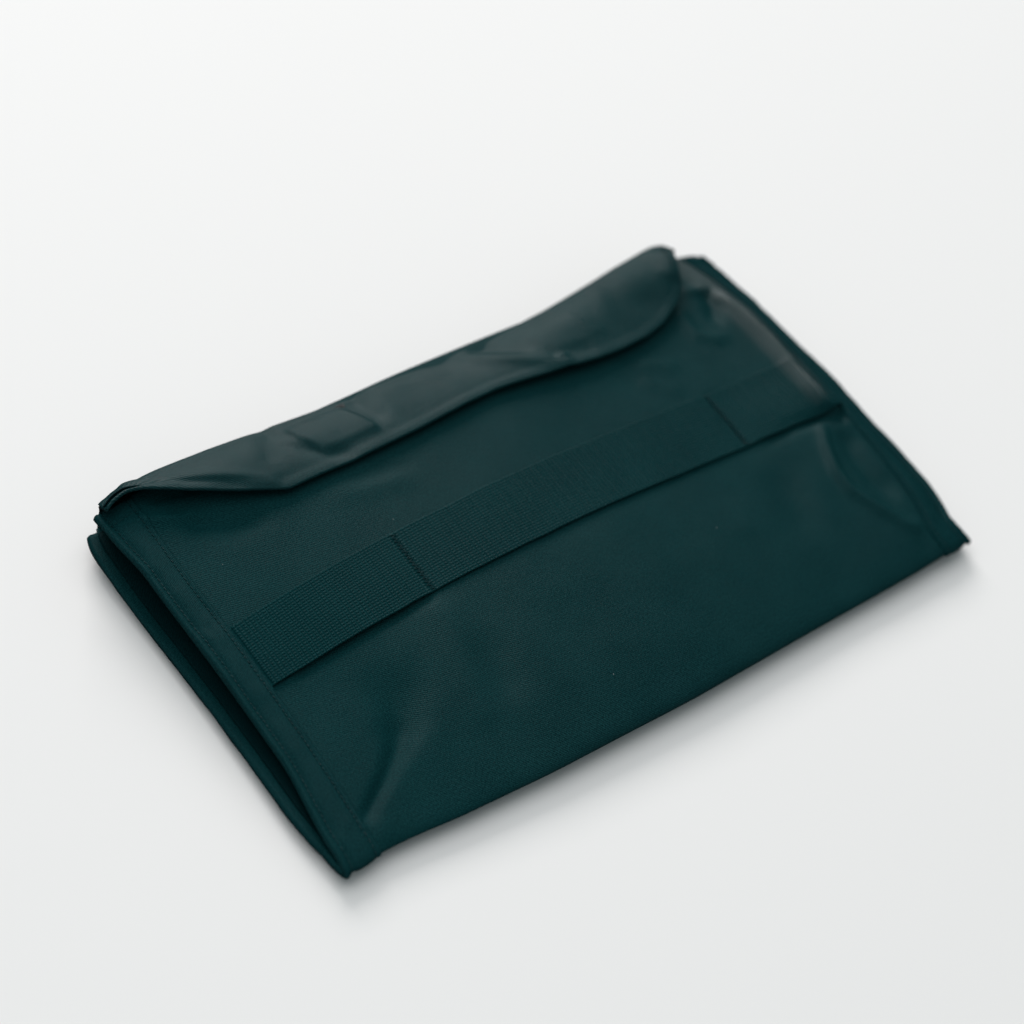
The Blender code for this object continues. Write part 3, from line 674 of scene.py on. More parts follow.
# the gusset's dye is darker than the body's: painted shade inside the pleats
GUSSET_PAINTED_SHADE = cloth("gusset_cloth", dark=(0.0001, 0.0070, 0.0085), light=(0.0012, 0.0170, 0.0190),
               rough=0.6, sheen=0.0, spec=0.05, twill=0.8, bump=0.08)
LINING = cloth("flap_lining", dark=(0.0002, 0.0130, 0.0155), light=(0.0024, 0.0230, 0.0260),
               rough=0.6, sheen=0.0, spec=0.16)
LOOP = cloth("loop", dark=(0.002, 0.006, 0.007), light=(0.010, 0.020, 0.022), rough=0.95,
             spec=0.05, twill=0.6, warp=0.6, bump=0.5, grain=1.6)
HOOK = cloth("hook", dark=(0.001, 0.005, 0.006), light=(0.010, 0.019, 0.021), rough=0.6,
             sheen=0.1, spec=0.2, twill=1.1, angle=0, warp=1.1, bump=0.9)
THREAD = cloth("thread", dark=(0.001, 0.019, 0.022), light=(0.006, 0.036, 0.040), spec=0.2,
               **SEWING)
TACK_THREAD = cloth("tack_thread", dark=(0.0005, 0.017, 0.020), light=(0.004, 0.032, 0.036),
                    spec=0.14, **SEWING)
# pale thread, in the file's palette though no piece wears it
cloth("thread_end", dark=(0.30, 0.32, 0.32), light=(0.55, 0.58, 0.58), rough=0.6, sheen=0.2,
      spec=0.3, source="object", bump=0.05)
BAG_NYLON = cloth("bag_nylon", dark=(0.004, 0.004, 0.005), light=(0.012, 0.012, 0.013),
                  rough=0.45, sheen=0.1, spec=0.45, twill=0.5, source="object", bump=0.1)
BAG_LINING = cloth("bag_lining", dark=(0.006, 0.005, 0.005), light=(0.016, 0.014, 0.014),
                   rough=0.7, sheen=0.1, source="object", bump=0.12)
ELASTIC = cloth("elastic", dark=(0.006, 0.006, 0.007), light=(0.030, 0.030, 0.032), rough=0.85,
                sheen=0.3, twill=1.6, angle=0, warp=0.7, source="object", bump=0.4)
ZIP_TEETH = hard("zip_teeth", (0.012, 0.012, 0.013), rough=0.42)
ZIP_METAL = hard("zip_metal", (0.07, 0.07, 0.075), rough=0.34, metal=1.0)

BY_SLOT = {
    "black_twill": TWILL, "binding_tape": BINDING, "webbing": WEBBING, "loop_patch": LOOP,
    "hook_patch": HOOK, "thread": THREAD, "bag_nylon": BAG_NYLON, "bag_lining": BAG_LINING,
    "elastic": ELASTIC, "zip_coil": ZIP_TEETH, "zip_slider": ZIP_METAL,
}
for subpart in frame["record"]["subparts"]:
    piece = frame["nodes"][subpart["node"]]
    piece.data.materials.clear()
    piece.data.materials.append(BY_SLOT[subpart["material_slot"]])

# =============================================================================
# Pouch cloth
# =============================================================================


def drawn_in(wrap):
    """How far the left edge is drawn inwards along the middle of the front."""
    v = front_v(wrap)
    return 2.6 * ease((78 - v) / 26) * ease((v + 78) / 40)


def draw_in_left(points, u, wrap):
    """Moves points near the left edge inwards, fading to nothing at the tape's inner edge."""
    points[..., 0] += drawn_in(wrap) * ease((-u - INNER) / (HALF_W - INNER))


def pouch_cloth():
    step = 1.1
    u, wrap = np.meshgrid(
        stations((-157.5, 159.5, step)),
        stations((0.0, 1.0, step / FRONT_LEN), (1.0, 2.0, 1 / 26), (2.0, 3.0, 3.0 / 165.0)),
        indexing="ij")
    points = wrap_off(u, wrap, 0.0)
    draw_in_left(points, u, wrap)
    uv = np.stack([u, V_TOP - wrap_length(wrap)], -1)
    made = grid_object("pouch_cloth", points, FRONT_TWILL, uv, flip=True)
    thicken(made, 0.6)
    attach(made, "pouch", "main_panel")


pouch_cloth()

# =============================================================================
# Bindings and their stitches
# =============================================================================
STRAP_W, STRAP_T = 30.0, 1.2  # the webbing's width and thickness
# (u, v) of the webbing's centre line
strap_mid = curve([
    (-165, 2.8), (-145, 3.4), (-110, 5.6), (-68, 7.6), (0, 7.2), (50, 6.2), (98, 5.3),
    (126, 4.9), (148, 2.2), (165, 2.0)], 6)
ROW_OUT, ROW_IN = HALF_W - 3.8, INNER + 2.4  # the two rows of stitches
PITCH = 2.25


def tape_section(side):
    """(u, off) from the tape's inner edge, over the outer edge, to the under layer."""
    top = [(INNER + 0.0, 0.10), (INNER + 0.25, 0.55), (INNER + 0.8, 0.8)]
    top += [(q, 1.0) for q in np.arange(INNER + 1.4, HALF_W - 2.0, 0.6)]
    arc = [(HALF_W - 1.7 + 1.7 * math.sin(a), -0.35 + 1.75 * math.cos(a))
           for a in np.linspace(0.15, math.pi - 0.15, 13)]
    under = [(HALF_W - 2.4, -1.9), (HALF_W - 6, -1.9), (HALF_W - 10, -1.9), (HALF_W - 13, -1.8)]
    return np.array(top + arc + under) * np.array([side, 1.0])


def hem_v(out):
    """v of the short seam across the tape, at a distance out from the middle."""
    return 80.5 - 0.12 * (out - INNER)


def on_tape(u, wrap, off):
    """off, changed on the outer face by the puff between the rows, the grooves and puckers of
    the stitches, and the webbing beneath."""
    out = np.abs(u)
    v = front_v(wrap)
    front = ease((1.02 - wrap) / 0.04)
    strap_gap = np.abs(v - strap_mid(u)) - STRAP_W / 2
    lift = 0.30 * ease(1 - strap_gap / 6.0) * front
    length = wrap_length(wrap)
    groove = 0.45 * np.exp(-(((v - hem_v(out)) / 0.9) ** 2)) * front
    for row, depth in ((ROW_OUT, 0.62), (ROW_IN, 0.50)):
        profile = np.exp(-(((out - row) / 0.95) ** 2))
        groove = groove + depth * profile * (0.74 + 0.26 * np.cos(2 * math.pi * length / PITCH))
    puff = (0.40 * ease((out - ROW_IN) / 4) * ease((ROW_OUT - out) / 4)
            + 0.45 * ease((out - ROW_OUT) / 1.8))
    pucker = (0.20 * value_noise(length, out, 5.0, 12)
              + 0.35 * value_noise(length, out * 0.7, 13.0, 13))
    relief = puff - groove + pucker * ease((out - INNER) / 3) + lift
    return off + np.where(off > 0.5, relief, 0.0)


def tape_xyz(u, wrap, off, above=0.0):
    return wrap_off(u, wrap, on_tape(u, wrap, off) + above)


def binding_tape(side, hand):
    section = tape_section(side)
    wraps = stations((front_wrap(86.5), 1.0, 0.9 / FRONT_LEN), (1.0, 2.0, 1 / 30),
                     (2.0, 2.985, 1.6 / 165.0))
    u, wrap = np.meshgrid(section[:, 0], wraps, indexing="ij")
    points = tape_xyz(u, wrap, np.broadcast_to(section[:, 1][:, None], u.shape))
    draw_in_left(points, u, wrap)
    steps = np.diff(section, axis=0)
    over = np.concatenate([[0], np.cumsum(np.hypot(steps[:, 0], steps[:, 1]))])
    uv = np.stack([np.broadcast_to(over[:, None], u.shape), wrap_length(wrap)], -1)
    made = grid_object(f"{hand}_binding_tape", points, BINDING, uv, flip=side > 0)
    thicken(made, 0.45)
    attach(made, "pouch", f"{hand}_binding")


def seam_stitches(side, row_u):
    """The long row of stitches down the front, round the fold and up the back."""
    middles = np.arange(PITCH / 2 + 1.5, TO_BACK + 160, PITCH)
    ends = []
    for lead in (-0.38, 0.38):
        wrap = wrap_at(middles + lead * PITCH + 0.06 * rng.normal(size=len(middles)))
        u = np.full(len(middles), side * row_u) + 0.08 * rng.normal(size=len(middles))
        points = tape_xyz(u, wrap, 1.0, above=0.04)
        draw_in_left(points, u, wrap)
        ends.append((points, u, wrap))
    (starts, u, wrap), (stops, _, _) = ends
    normals = wrap_frame(u, wrap)[1]
    return [stitch(*row, 0.27) for row in zip(starts, stops, normals)]


def hem_stitches(side):
    """Six stitches across the tape near the mouth."""
    ends = []
    for lead in (0.2, 1.9):
        out = INNER + 1.0 + np.arange(6) * 2.3 + lead
        ends.append(tape_xyz(side * out, front_wrap(hem_v(out)), 1.0, above=0.04))
    return [stitch(start, end, (0, 0, 1), 0.25) for start, end in zip(*ends)]


for side, hand in SIDES:
    binding_tape(side, hand)
    for row_name, row_u in (("outer", ROW_OUT), ("inner", ROW_IN)):
        stitches = seam_stitches(side, row_u)
        if row_name == "inner":
            stitches += hem_stitches(side)
        stitch_object(f"{hand}_binding_stitches_{row_name}", stitches, THREAD,
                      f"{hand}_binding_stitch_{row_name}")

# =============================================================================
# Gussets: cloth pleated inwards between the front and the back
# =============================================================================


def gusset(side, hand):
    # down runs 0-1 from the front to the back
    down, v = np.meshgrid(np.linspace(0, 1, 41), stations((84.0, -80.0, 2.0)), indexing="ij")
    top_wrap = front_wrap(np.clip(v, V_FOLD, V_TOP))
    low_wrap = 2 + (np.clip(v, V_FOLD, V_BACK) - V_FOLD) / BACK_LEN
    top = wrap_off(side * (HALF_W - 8.0), top_wrap, -2.7)
    low = wrap_off(side * (HALF_W - 4.2), low_wrap, -2.7)
    depth = 15.0 * np.clip((top[..., 2] - low[..., 2]) / 14.0, 0.15, 1.2)
    pleat = 1 - np.abs(2 * down - 1) ** 1.25
    points = lerp(top, low, down[..., None])
    points[..., 0] -= side * depth * pleat
    points[..., 0] += 0.7 * value_noise(v, down * 18, 11.0, 21 + side) * pleat
    if side < 0:
        points[..., 0] += drawn_in(top_wrap) * 0.8 * (1 - down)
    uv = np.stack([down * 34, v], -1)
    made = grid_object(f"{hand}_gusset_cloth", points, GUSSET_PAINTED_SHADE, uv, flip=side > 0)
    thicken(made, 0.5)
    attach(made, "pouch", f"{hand}_gusset")


for side, hand in SIDES:
    gusset(side, hand)

# =============================================================================
# Folded inner bag: two creased layers, held down where the pouch's front dips
# =============================================================================
BAG_FOLD_Y = -56.0  # where the layers start to turn round at the bottom


def bag_top(x, y):
    rise = (9.0 * (1 - np.minimum(np.abs(x) / 142.5, 1) ** 2) ** 0.8
            * (1 - np.minimum(np.abs(y + 6) / 92.0, 1) ** 2))
    z = lerp(10.0, 23.5, (y + 86.0) / 174.0) - 2.9 + 0.85 * rise * (1 - ease(y / 36.0))
    held = front_height(x, np.clip(y, V_FOLD, 87)) - 2.0
    excess = np.clip((z - held) / 1.2 + 1, 0, None)
    return z - np.where(excess > 0, 1.2 * (np.sqrt(1 + excess * excess) - 1), 0)


def bag_layer(name, stands_for, mat, top_share, reach, lip, half):
    """reach: how far it turns out past BAG_FOLD_Y; lip: y of its open edges; half: half width."""
    step = 2.0 / (lip - BAG_FOLD_Y)
    x, wrap = np.meshgrid(stations((-half, half, 2.0)),
                          stations((0, 1, step), (1, 2, 1 / 12), (2, 3, step)), indexing="ij")
    y = np.where(wrap <= 1, lerp(lip, BAG_FOLD_Y, wrap),
                 np.where(wrap >= 2, lerp(BAG_FOLD_Y, lip, wrap - 2), BAG_FOLD_Y))
    top = bag_top(x, y)
    creases = 0.5 * value_noise(x, y, 21.0, 51) + 0.25 * value_noise(x, y, 8.0, 52)
    quiet = ease((half - np.abs(x)) / 10) * ease((lip - y) / 10)
    high = lerp(1.2, top, top_share) + 0.6 * creases * quiet - 0.4
    low = lerp(1.2, top, 1 - top_share)
    turn = np.radians(90 - 180 * (wrap - 1))
    z_turn = (high + low) / 2 + (high - low) / 2 * np.sin(turn)
    z = np.where(wrap <= 1, high, np.where(wrap >= 2, low, z_turn))
    y = np.where((wrap > 1) & (wrap < 2), y - reach * np.cos(turn), y)
    made = grid_object(name, np.stack([x, y, z], -1), mat, np.stack([x, wrap * 110], -1), flip=True)
    thicken(made, 0.4, offset=0.0)
    attach(made, "pouch", stands_for)


bag_layer("bag_outer_skin", "bag_outer_cloth", BAG_NYLON,
          top_share=1.0, reach=9.0, lip=58.0, half=132.0)
bag_layer("bag_lining_skin", "bag_lining", BAG_LINING,
          top_share=0.88, reach=6.2, lip=34.0, half=130.0)

# =============================================================================
# Webbing strap and its tacks
# =============================================================================
TACKS = (-68.0, 95.0)  # u of the two tacks


def strap_bow(u, edge):
    """How far the webbing stands off; edge is -1 at its lower edge, 1 at its upper edge."""
    left = np.sin(math.pi * np.clip((u + INNER) / (TACKS[0] + INNER), 0, 1)) ** 0.8
    middle = np.sin(math.pi * np.clip((u - TACKS[0]) / (TACKS[1] - TACKS[0]), 0, 1))
    right = np.sin(math.pi * np.clip((u - TACKS[1]) / (INNER - TACKS[1]), 0, 1)) ** 0.8
    sink = 1.25 * ease((u - TACKS[1] + 4) / 18.0) * ease((edge + 0.5) / 1.4)
    return left * (1.3 - 0.3 * edge) + middle * 0.35 + right * (0.4 - 0.4 * edge) - sink


def tack_pull(u):
    return sum(np.exp(-(((u - tack) / 2.2) ** 2)) for tack in TACKS)


def strap_loop():
    """The strap's section: rows of (across, height, edge, 1 on the top face)."""
    rim = 0.5
    flat = STRAP_W / 2 - rim
    turn = np.linspace(0.3, math.pi - 0.3, 5)
    half_t = STRAP_T / 2
    loop = [(w * flat, STRAP_T, w, 1.0) for w in np.linspace(-1, 1, 49)]
    loop += [(flat + rim * math.sin(a), half_t + half_t * math.cos(a), 1.0, 0.0) for a in turn]
    loop += [(w * flat, 0.0, w, 0.0) for w in np.linspace(1, -1, 9)]
    loop += [(-flat - rim * math.sin(a), half_t + half_t * math.cos(a), -1.0, 0.0)
             for a in turn[::-1]]
    return np.array(loop)


def webbing():
    loop = strap_loop()
    u, index = np.meshgrid(stations((-154.0, 152.0, 0.38)), np.arange(len(loop)), indexing="ij")
    across, height, edge, on_top = (loop[index, k] for k in range(4))
    rib = 0.5 + 0.5 * np.cos(2 * math.pi * u / RIB)
    cord = 0.5 + 0.5 * np.cos(2 * math.pi * across / CORD)
    pull = tack_pull(u)
    relief = on_top * (0.13 * rib**0.7 + 0.08 * cord * rib - 0.08) * (1 - 0.5 * pull)
    v = strap_mid(u) + across + 0.18 * value_noise(u, across * 0.2, 9.0, 33)
    # the ends are squeezed flat beneath the binding tapes
    under_tape = ease((np.abs(u) - INNER + 1.5) / 2.5)
    off = 0.25 + height + relief * (1 - under_tape) + strap_bow(u, edge) - 0.25 * pull
    off = lerp(off, 0.08 + 0.35 * height, under_tape)
    rows, columns = u.shape
    near = np.arange(rows - 1) * columns
    far = near + columns
    closing = np.stack([near + columns - 1, far + columns - 1, far, near], -1)
    quads = np.concatenate([grid_quads(rows, columns), closing])
    made = mesh_object("webbing", front_off(u, v, off).reshape(-1, 3), quads, WEBBING,
                       uv=np.stack([u, across], -1).reshape(-1, 2), flip=True)
    ends = bmesh.new()
    ends.from_mesh(made.data)
    bmesh.ops.holes_fill(ends, edges=[q for q in ends.edges if q.is_boundary], sides=0)
    bmesh.ops.recalc_face_normals(ends, faces=ends.faces)
    ends.to_mesh(made.data)
    ends.free()
    made.data.shade_smooth()
    attach(made, "pouch", "webbing_strap")


def on_strap(u, v, off):
    edge = np.clip((v - strap_mid(u)) / (STRAP_W / 2), -1, 1)
    face = 0.25 + STRAP_T + 0.05 + strap_bow(u, edge) - 0.25 * tack_pull(u)
    return front_off(u, v, face + off)


def strap_tack(middle, hand):
    """Two zigzags, one over the other, across the strap."""
    count = 34
    v = strap_mid(middle) + STRAP_W / 2 - 0.8 - np.linspace(0, 1, count) * (STRAP_W - 1.6)
    stitches = []
    for swing, shift, above in ((1.25, 0.0, 0.10), (0.55, 0.3, 0.22)):
        zigzag = np.where(np.arange(count) % 2, swing, -swing)
        u = middle + zigzag + 0.12 * rng.normal(size=count) + shift
        points = on_strap(u, v, above)
        stitches += [stitch(points[k], points[k + 1], (0, 0, 1), 0.20) for k in range(count - 1)]
    stitch_object(f"{hand}_strap_tack", stitches, TACK_THREAD, f"strap_tack_{hand}")


# the webbing bridges the front's small folds, except at the right-hand end
folded_field = front_field
for _ in range(3):
    front_field = blurred(front_field, 6.0)
front_field = lerp(front_field, folded_field, ease((field_u - 104) / 16)[:, None])
webbing()
for middle, (_, hand) in zip(TACKS, SIDES):
    strap_tack(middle, hand)
front_field = folded_field

# =============================================================================
# Turned hem inside the mouth, and the loop patches on the front
# =============================================================================
PATCH_X, PATCH_Y = 60.0, 75.0
PATCH_HALF_W, PATCH_HALF_H = 12.5, 10.0


def patch_pair(kind, place, thick, mat, part, stands_for, flip=False):
    for side, hand in SIDES:
        middle = side * PATCH_X
        patch = slab(f"{hand}_{kind}_patch", (middle - PATCH_HALF_W, middle + PATCH_HALF_W),
                     (PATCH_Y - PATCH_HALF_H, PATCH_Y + PATCH_HALF_H), place, thick, mat,
                     step=0.8, flip=flip)
        attach(patch, part, f"{stands_for}_{hand}")


hem = slab("mouth_hem_cloth", (-137.0, 137.0), (67.0, 85.5),
           lambda u, v, off: front_off(u, v, off - 1.5), 0.55, BINDING, step=1.6, pad=0.1)
attach(hem, "pouch", "mouth_hem")
patch_pair("loop", lambda u, v, off: front_off(u, v, off + 0.15), 1.3, LOOP, "pouch",
           "front_loop_patch")

# =============================================================================
# Flap and spine
# =============================================================================
# (u, y) of the fold over the spine
fold_y = curve([
    (-162, 88.4), (-157, 90.2), (-150, 91.2), (-130, 91.8), (-100, 91.4), (-60, 89.6),
    (-40, 88.6), (10, 87.4), (50, 88.4), (80, 90.8), (110, 93.8), (130, 95.0), (138, 94.0),
    (143, 91)], 3)
# (u, height) by which that fold stands above the front
fold_lift = curve([
    (-162, -0.4), (-159, 1.6), (-156, 4.0), (-151, 5.4), (-144, 5.5), (-128, 4.8), (-112, 3.8),
    (-90, 1.4), (-60, -0.6), (-40, -0.4), (-10, -2.0), (30, -1.0), (60, 2.0), (95, 5.8),
    (118, 8.0), (130, 8.8), (138, 7.0), (143, 3.0)], 4)
# (u, y) of the free edge
free_y = curve([
    (-160, 82.6), (-156, 84.6), (-149, 85.6), (-143, 83.6), (-137, 79.8), (-128, 74.4),
    (-115, 68.2), (-100, 61.4), (-92.5, 58.0), (-84, 58.0), (-62, 57.2), (-31, 57.4),
    (-6, 58.8), (10, 59.2), (29, 57.2), (48, 54.8), (63, 53.8), (77, 54.0), (91, 55.4),
    (103, 58.4), (114, 63.2), (121, 67.8), (127, 76), (133, 84), (138.5, 92)], 1.2)
# (u, height) by which the free edge stands off
stand_off = curve([
    (-160, 2.6), (-150, 2.0), (-138, 1.2), (-118, 0.9), (-98, -0.2), (-90, -0.4), (-60, -0.4),
    (-25, -0.4), (15, 0.6), (45, 1.0), (78, 0.4), (110, 0.2), (124, 0.6), (140, 0.6)], 4)

# Folds of the flap, in the same columns as FRONT_FOLDS, with (u, y) points
FLAP_FOLDS = [
    ([(-146, 87), (-132, 83.5), (-118, 76.5), (-106, 69.5), (-97, 64), (-91, 61)],
     [0.2, 0.8, 1.2, 1.0], 3.0, 2.4, (0.4, 0.12)),
    ([(-132, 79.0), (-118, 72.0), (-104, 64.4)], -0.5, 1.8, 1.4, (0.2, 0.2)),
    ([(6, 84), (22, 72), (37, 62), (52, 55.5)], [1.0, 1.6, 1.6, 1.0], 5.0, 3.0, (0.15, 0.1)),
    ([(14, 86), (28, 76), (40, 67)], -1.3, 4, 3, (0.2, 0.3)),
    ([(40, 64), (54, 60.5), (66, 58)], -0.7, 3, 3, (0.2, 0.2)),
    ([(-42, 86), (-30, 82), (-12, 81), (4, 78)], 1.5, 4, 6, (0.25, 0.3)),
    ([(-44, 86), (-43, 76), (-38, 66)], -1.2, 4, 4, (0.2, 0.3)),
    ([(84, 80), (100, 70), (112, 64)], -1.0, 9, 7, (0.3, 0.3)),
    ([(-80, 87), (-88, 78), (-94, 68)], -1.1, 6, 5, (0.2, 0.3)),
    ([(-88, 80), (-76, 70), (-66, 62), (-56, 58)], [-0.6, -1.2, -1.2, -0.6], 2.6, 3.4, (0.2, 0.2)),
    ([(130, 88), (126, 79), (121, 71)], 1.6, 3.2, 5, (0.2, 0.2)),
]
SPINE_ROWS, ARC_ROWS, FRONT_ROWS = 26, 22, 46
FOLD_R = 5.2
INNER_BELOW = 1.3  # how far the inner cloth lies inside the outer


def patch_print(u, y, middle, width, height, skew, rise):
    """The raised outline of a patch beneath the flap."""
    in_u = width / 2 - np.abs((u - middle[0]) - skew * (y - middle[1]))
    in_y = height / 2 - np.abs(y - middle[1])
    share_u = ease(in_u / 1.6 + 0.5)
    share_y = ease(in_y / 1.6 + 0.5)
    rim = np.exp(-((in_u / 1.4) ** 2)) * share_y + np.exp(-((in_y / 1.4) ** 2)) * share_u
    return rise * share_u * share_y + 0.45 * rise * rim


def flap_height(u, y, below, start_y, end_y):
    """z of the flap where it lies over the front, between start_y and end_y."""
    share = np.clip((start_y - y) / np.maximum(start_y - end_y, 1e-3), 0, 1)
    z = base_height(u, np.clip(y, V_FOLD, 87.0)) + 2.6 - below
    z = z + fold_lift(u) * ease(1 - (start_y - y) / 34.0) + stand_off(u) * ease(share) ** 1.5
    z = z + 2.3 - 4.6 * ease((y - (fold_y(u) - 21)) / 24.0) ** 1.2
    for row in FLAP_FOLDS:
        z = z + fold(u, y, *row)
    z = z + patch_print(u, y, (-61.0, 74.0), width=26.0, height=17.0, skew=-0.38, rise=1.0)
    z = z + patch_print(u, y, (57.0, 70.5), width=27.0, height=13.0, skew=-0.62, rise=0.45)
    rim = y - free_y(u)
    z = z + 0.25 * np.exp(-(((rim - 1.9) / 1.2) ** 2)) - 0.28 * np.exp(-(((rim - 4.0) / 1.0) ** 2))
    return z + 0.30 * value_noise(u, y, 19.0, 41) + 0.12 * value_noise(u, y, 8.0, 42)


def flap_profile(u, below):
    """(y, z) at each u: rows run from the spine's foot, up, over the fold and down to the free
    edge. below moves the whole line that far towards the inside."""
    top_y = fold_y(u)
    start_y = top_y - FOLD_R
    end_y = np.minimum(free_y(u), start_y - 0.4)
    start_z = flap_height(u, start_y, below, start_y, end_y)
    spine_top = start_z - FOLD_R
    rows = []
    for k in range(SPINE_ROWS):
        share = k / (SPINE_ROWS - 1)
        bulge = math.sin(math.pi * share)
        belly = 1.1 * bulge + 0.5 * value_noise(u, share * 30, 16.0, 44) * bulge
        y = lerp(89.3 - below + corner_out(u), top_y - below, ease(share)) + belly
        rows.append((y, lerp(1.0 + below + back_lift(u), spine_top, share)))
    for k in range(1, ARC_ROWS + 1):
        turn = math.pi / 2 * k / ARC_ROWS
        rows.append((start_y + (FOLD_R - below) * math.cos(turn),
                     spine_top + (start_z - spine_top) * math.sin(turn)))
    for k in range(1, FRONT_ROWS + 1):
        y = lerp(start_y, end_y, (k / FRONT_ROWS) ** 0.9)
        rows.append((y, flap_height(u, y, below, start_y, end_y)))
    return np.stack([np.stack(row, -1) for row in rows], 1)


def rolled_edge(end, step, roll):
    """Rows that turn the free edge under, round a radius, and run back beneath the flap."""
    back_up = step / np.maximum(np.linalg.norm(step, axis=1), 1e-6)[:, None]
    normal = np.stack([-back_up[:, 1], back_up[:, 0]], -1)
    normal = np.where(normal[:, 1:] < 0, -normal, normal)
    rows = [end - back_up * (roll * math.sin(a)) + normal * (roll * (math.cos(a) - 1))
            for a in np.linspace(0.25, math.pi, 9)]
    rows += [end + back_up * q - normal * roll * 2 for q in (1.5, 3.5, 6.0)]
    return np.stack(rows, 1)


def flap_points(u, below, inset, roll):
    yz = flap_profile(u, below)
    step = yz[:, -2] - yz[:, -1]
    limit = (yz[:, -1, 0] + inset)[:, None]
    first = SPINE_ROWS + ARC_ROWS + 1
    yz[:, first:, 0] = np.maximum(yz[:, first:, 0], limit)
    # ease the corners of the line
    for _ in range(10):
        yz[:, 1:-1] = 0.25 * yz[:, :-2] + 0.5 * yz[:, 1:-1] + 0.25 * yz[:, 2:]
    if roll:
        yz = np.concatenate([yz, rolled_edge(yz[:, -1], step, roll)], 1)
    rows, columns = yz.shape[:2]
    wide_u = np.broadcast_to(u[:, None], (rows, columns))
    x = shift_x(wide_u, np.clip(yz[:, :, 0], -90, 88))
    foot = 1 - ease(np.arange(columns)[None, :] / (SPINE_ROWS + 0.6 * ARC_ROWS))
    x = x + foot * (4.5 * ease((-wide_u - 118) / 40) + 15.0 * ease((wide_u - 88) / 50))
    lengths = np.cumsum(np.linalg.norm(np.diff(yz, axis=1), axis=2), axis=1)
    down = np.concatenate([np.zeros((rows, 1)), lengths], 1)
    return np.stack([x, yz[..., 0], yz[..., 1]], -1), np.stack([wide_u, -down], -1)


def flap_layer(kind, below, inset, roll, mat, flap_node, spine_node):
    """One layer of cloth, in two objects that share the row at `split`."""
    split = 13
    points, uv = flap_points(flap_u, below, inset, roll)
    low = grid_object(f"spine_{kind}", points[:, : split + 1], mat, uv[:, : split + 1], flip=True)
    high = grid_object(f"flap_{kind}", points[:, split:], mat, uv[:, split:], flip=True)
    for piece in (low, high):
        thicken(piece, 0.5)
    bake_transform(low)
    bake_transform(high)
    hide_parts(spine_node)
    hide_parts(flap_node)


flap_u = stations((-159.0, 138.4, 1.0))
flap_layer("cloth", 0.0, inset=0.0, roll=0.85, mat=TWILL,
           flap_node="flap_outer", spine_node="spine_outer")
flap_layer("inner_cloth", INNER_BELOW - 0.75 * ease((-flap_u - 140) / 14), inset=2.0, roll=0.0,
           mat=LINING, flap_node="flap_lining", spine_node="spine_lining")


def under_flap(u, y, off):
    """A point off below the flap's inner cloth, over the place y on the front."""
    points = np.zeros(u.shape + (3,))
    for i in range(u.shape[0]):
        line = flap_profile(u[i, :1], INNER_BELOW)[0, SPINE_ROWS + ARC_ROWS:]
        z = np.interp(-y[i], -line[:, 0], line[:, 1])
        points[i] = np.stack([shift_x(u[i], y[i]), y[i], z - 0.6 - off[i]], -1)
    return points


patch_pair("hook", under_flap, 1.1, HOOK, "flap", "flap_hook_patch", flip=True)

# =============================================================================
# Stage, in metres
# =============================================================================


def stage_floor():
    mesh = bpy.data.meshes.new("floor")
    sheet = bmesh.new()
    bmesh.ops.create_grid(sheet, x_segments=1, y_segments=1, size=6.0)
    sheet.to_mesh(mesh)
    sheet.free()
    floor = bpy.data.objects.new("floor", mesh)
    floor.location = (0, 0, -0.0002)
    bpy.context.scene.collection.objects.link(floor)
    paint = bpy.data.materials.new("floor")
    paint.use_nodes = True
    surface = paint.node_tree.nodes["Principled BSDF"]
    surface.inputs["Base Color"].default_value = (0.76, 0.735, 0.73, 1)
    surface.inputs["Roughness"].default_value = 0.9
    surface.inputs["Specular IOR Level"].default_value = 0.1
    mesh.materials.append(paint)
    floor.visible_glossy = False


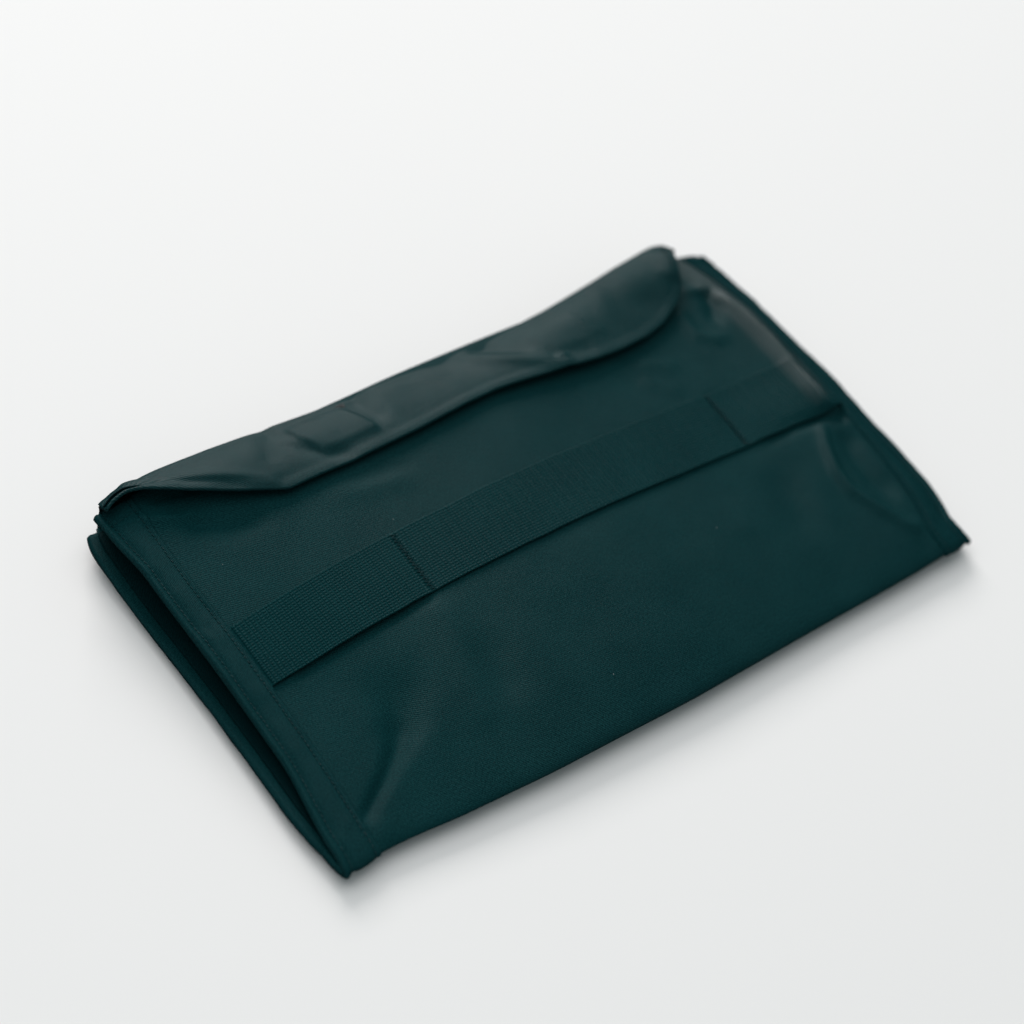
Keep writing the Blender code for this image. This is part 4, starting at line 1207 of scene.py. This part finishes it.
def stage_world():
    world = bpy.data.worlds.new("studio")
    bpy.context.scene.world = world
    world.use_nodes = True
    background = world.node_tree.nodes["Background"]
    background.inputs["Color"].default_value = (0.70, 0.84, 0.86, 1)
    background.inputs["Strength"].default_value = 0.42
    world.cycles_visibility.glossy = False


def area_light(name, place, target, size, power, colour=(1, 1, 1)):
    data = bpy.data.lights.new(name, "AREA")
    data.shape = "RECTANGLE"
    data.size, data.size_y = size
    data.energy = power
    data.color = colour
    lamp = bpy.data.objects.new(name, data)
    lamp.location = place
    aim = Vector(target) - Vector(place)
    lamp.rotation_euler = aim.to_track_quat("-Z", "Y").to_euler()
    bpy.context.scene.collection.objects.link(lamp)
    return lamp


def stage_camera(target, distance, azimuth, elevation, roll):
    """A camera that looks at the target; angles are in degrees."""
    azimuth, elevation, roll = (math.radians(q) for q in (azimuth, elevation, roll))
    back = Vector((math.sin(azimuth) * math.cos(elevation),
                   -math.cos(azimuth) * math.cos(elevation), math.sin(elevation)))
    level = Vector((0, 0, 1)).cross(back).normalized()
    upright = back.cross(level)
    right = level * math.cos(roll) + upright * math.sin(roll)
    up = upright * math.cos(roll) - level * math.sin(roll)
    data = bpy.data.cameras.new("camera")
    data.sensor_width = 36.0
    data.lens = 88.453125
    camera = bpy.data.objects.new("camera", data)
    turn = Matrix((right, up, back)).transposed().to_4x4()
    camera.matrix_world = Matrix.Translation(target + back * distance) @ turn
    bpy.context.scene.collection.objects.link(camera)
    bpy.context.scene.camera = camera
    data.dof.use_dof = True
    data.dof.focus_distance = 0.960
    data.dof.aperture_fstop = 4.6


stage_floor()
stage_world()
area_light("key", place=(0.95, 2.95, 1.95), target=(0.0, 0.02, 0.0), size=(2.0, 1.6),
           power=98.0, colour=(1.0, 0.985, 0.97))
top_light = area_light("top", place=(-0.2, 0.5, 2.2), target=(0.0, 0.0, 0.0), size=(2.6, 2.6),
                       power=34.0)
top_light.visible_glossy = False
stage_camera(Vector((-0.0079, 0.0164, 0.012)), distance=1.023, azimuth=-49.9, elevation=48.9,
             roll=16.3)
bpy.context.scene.view_settings.view_transform = "Standard"
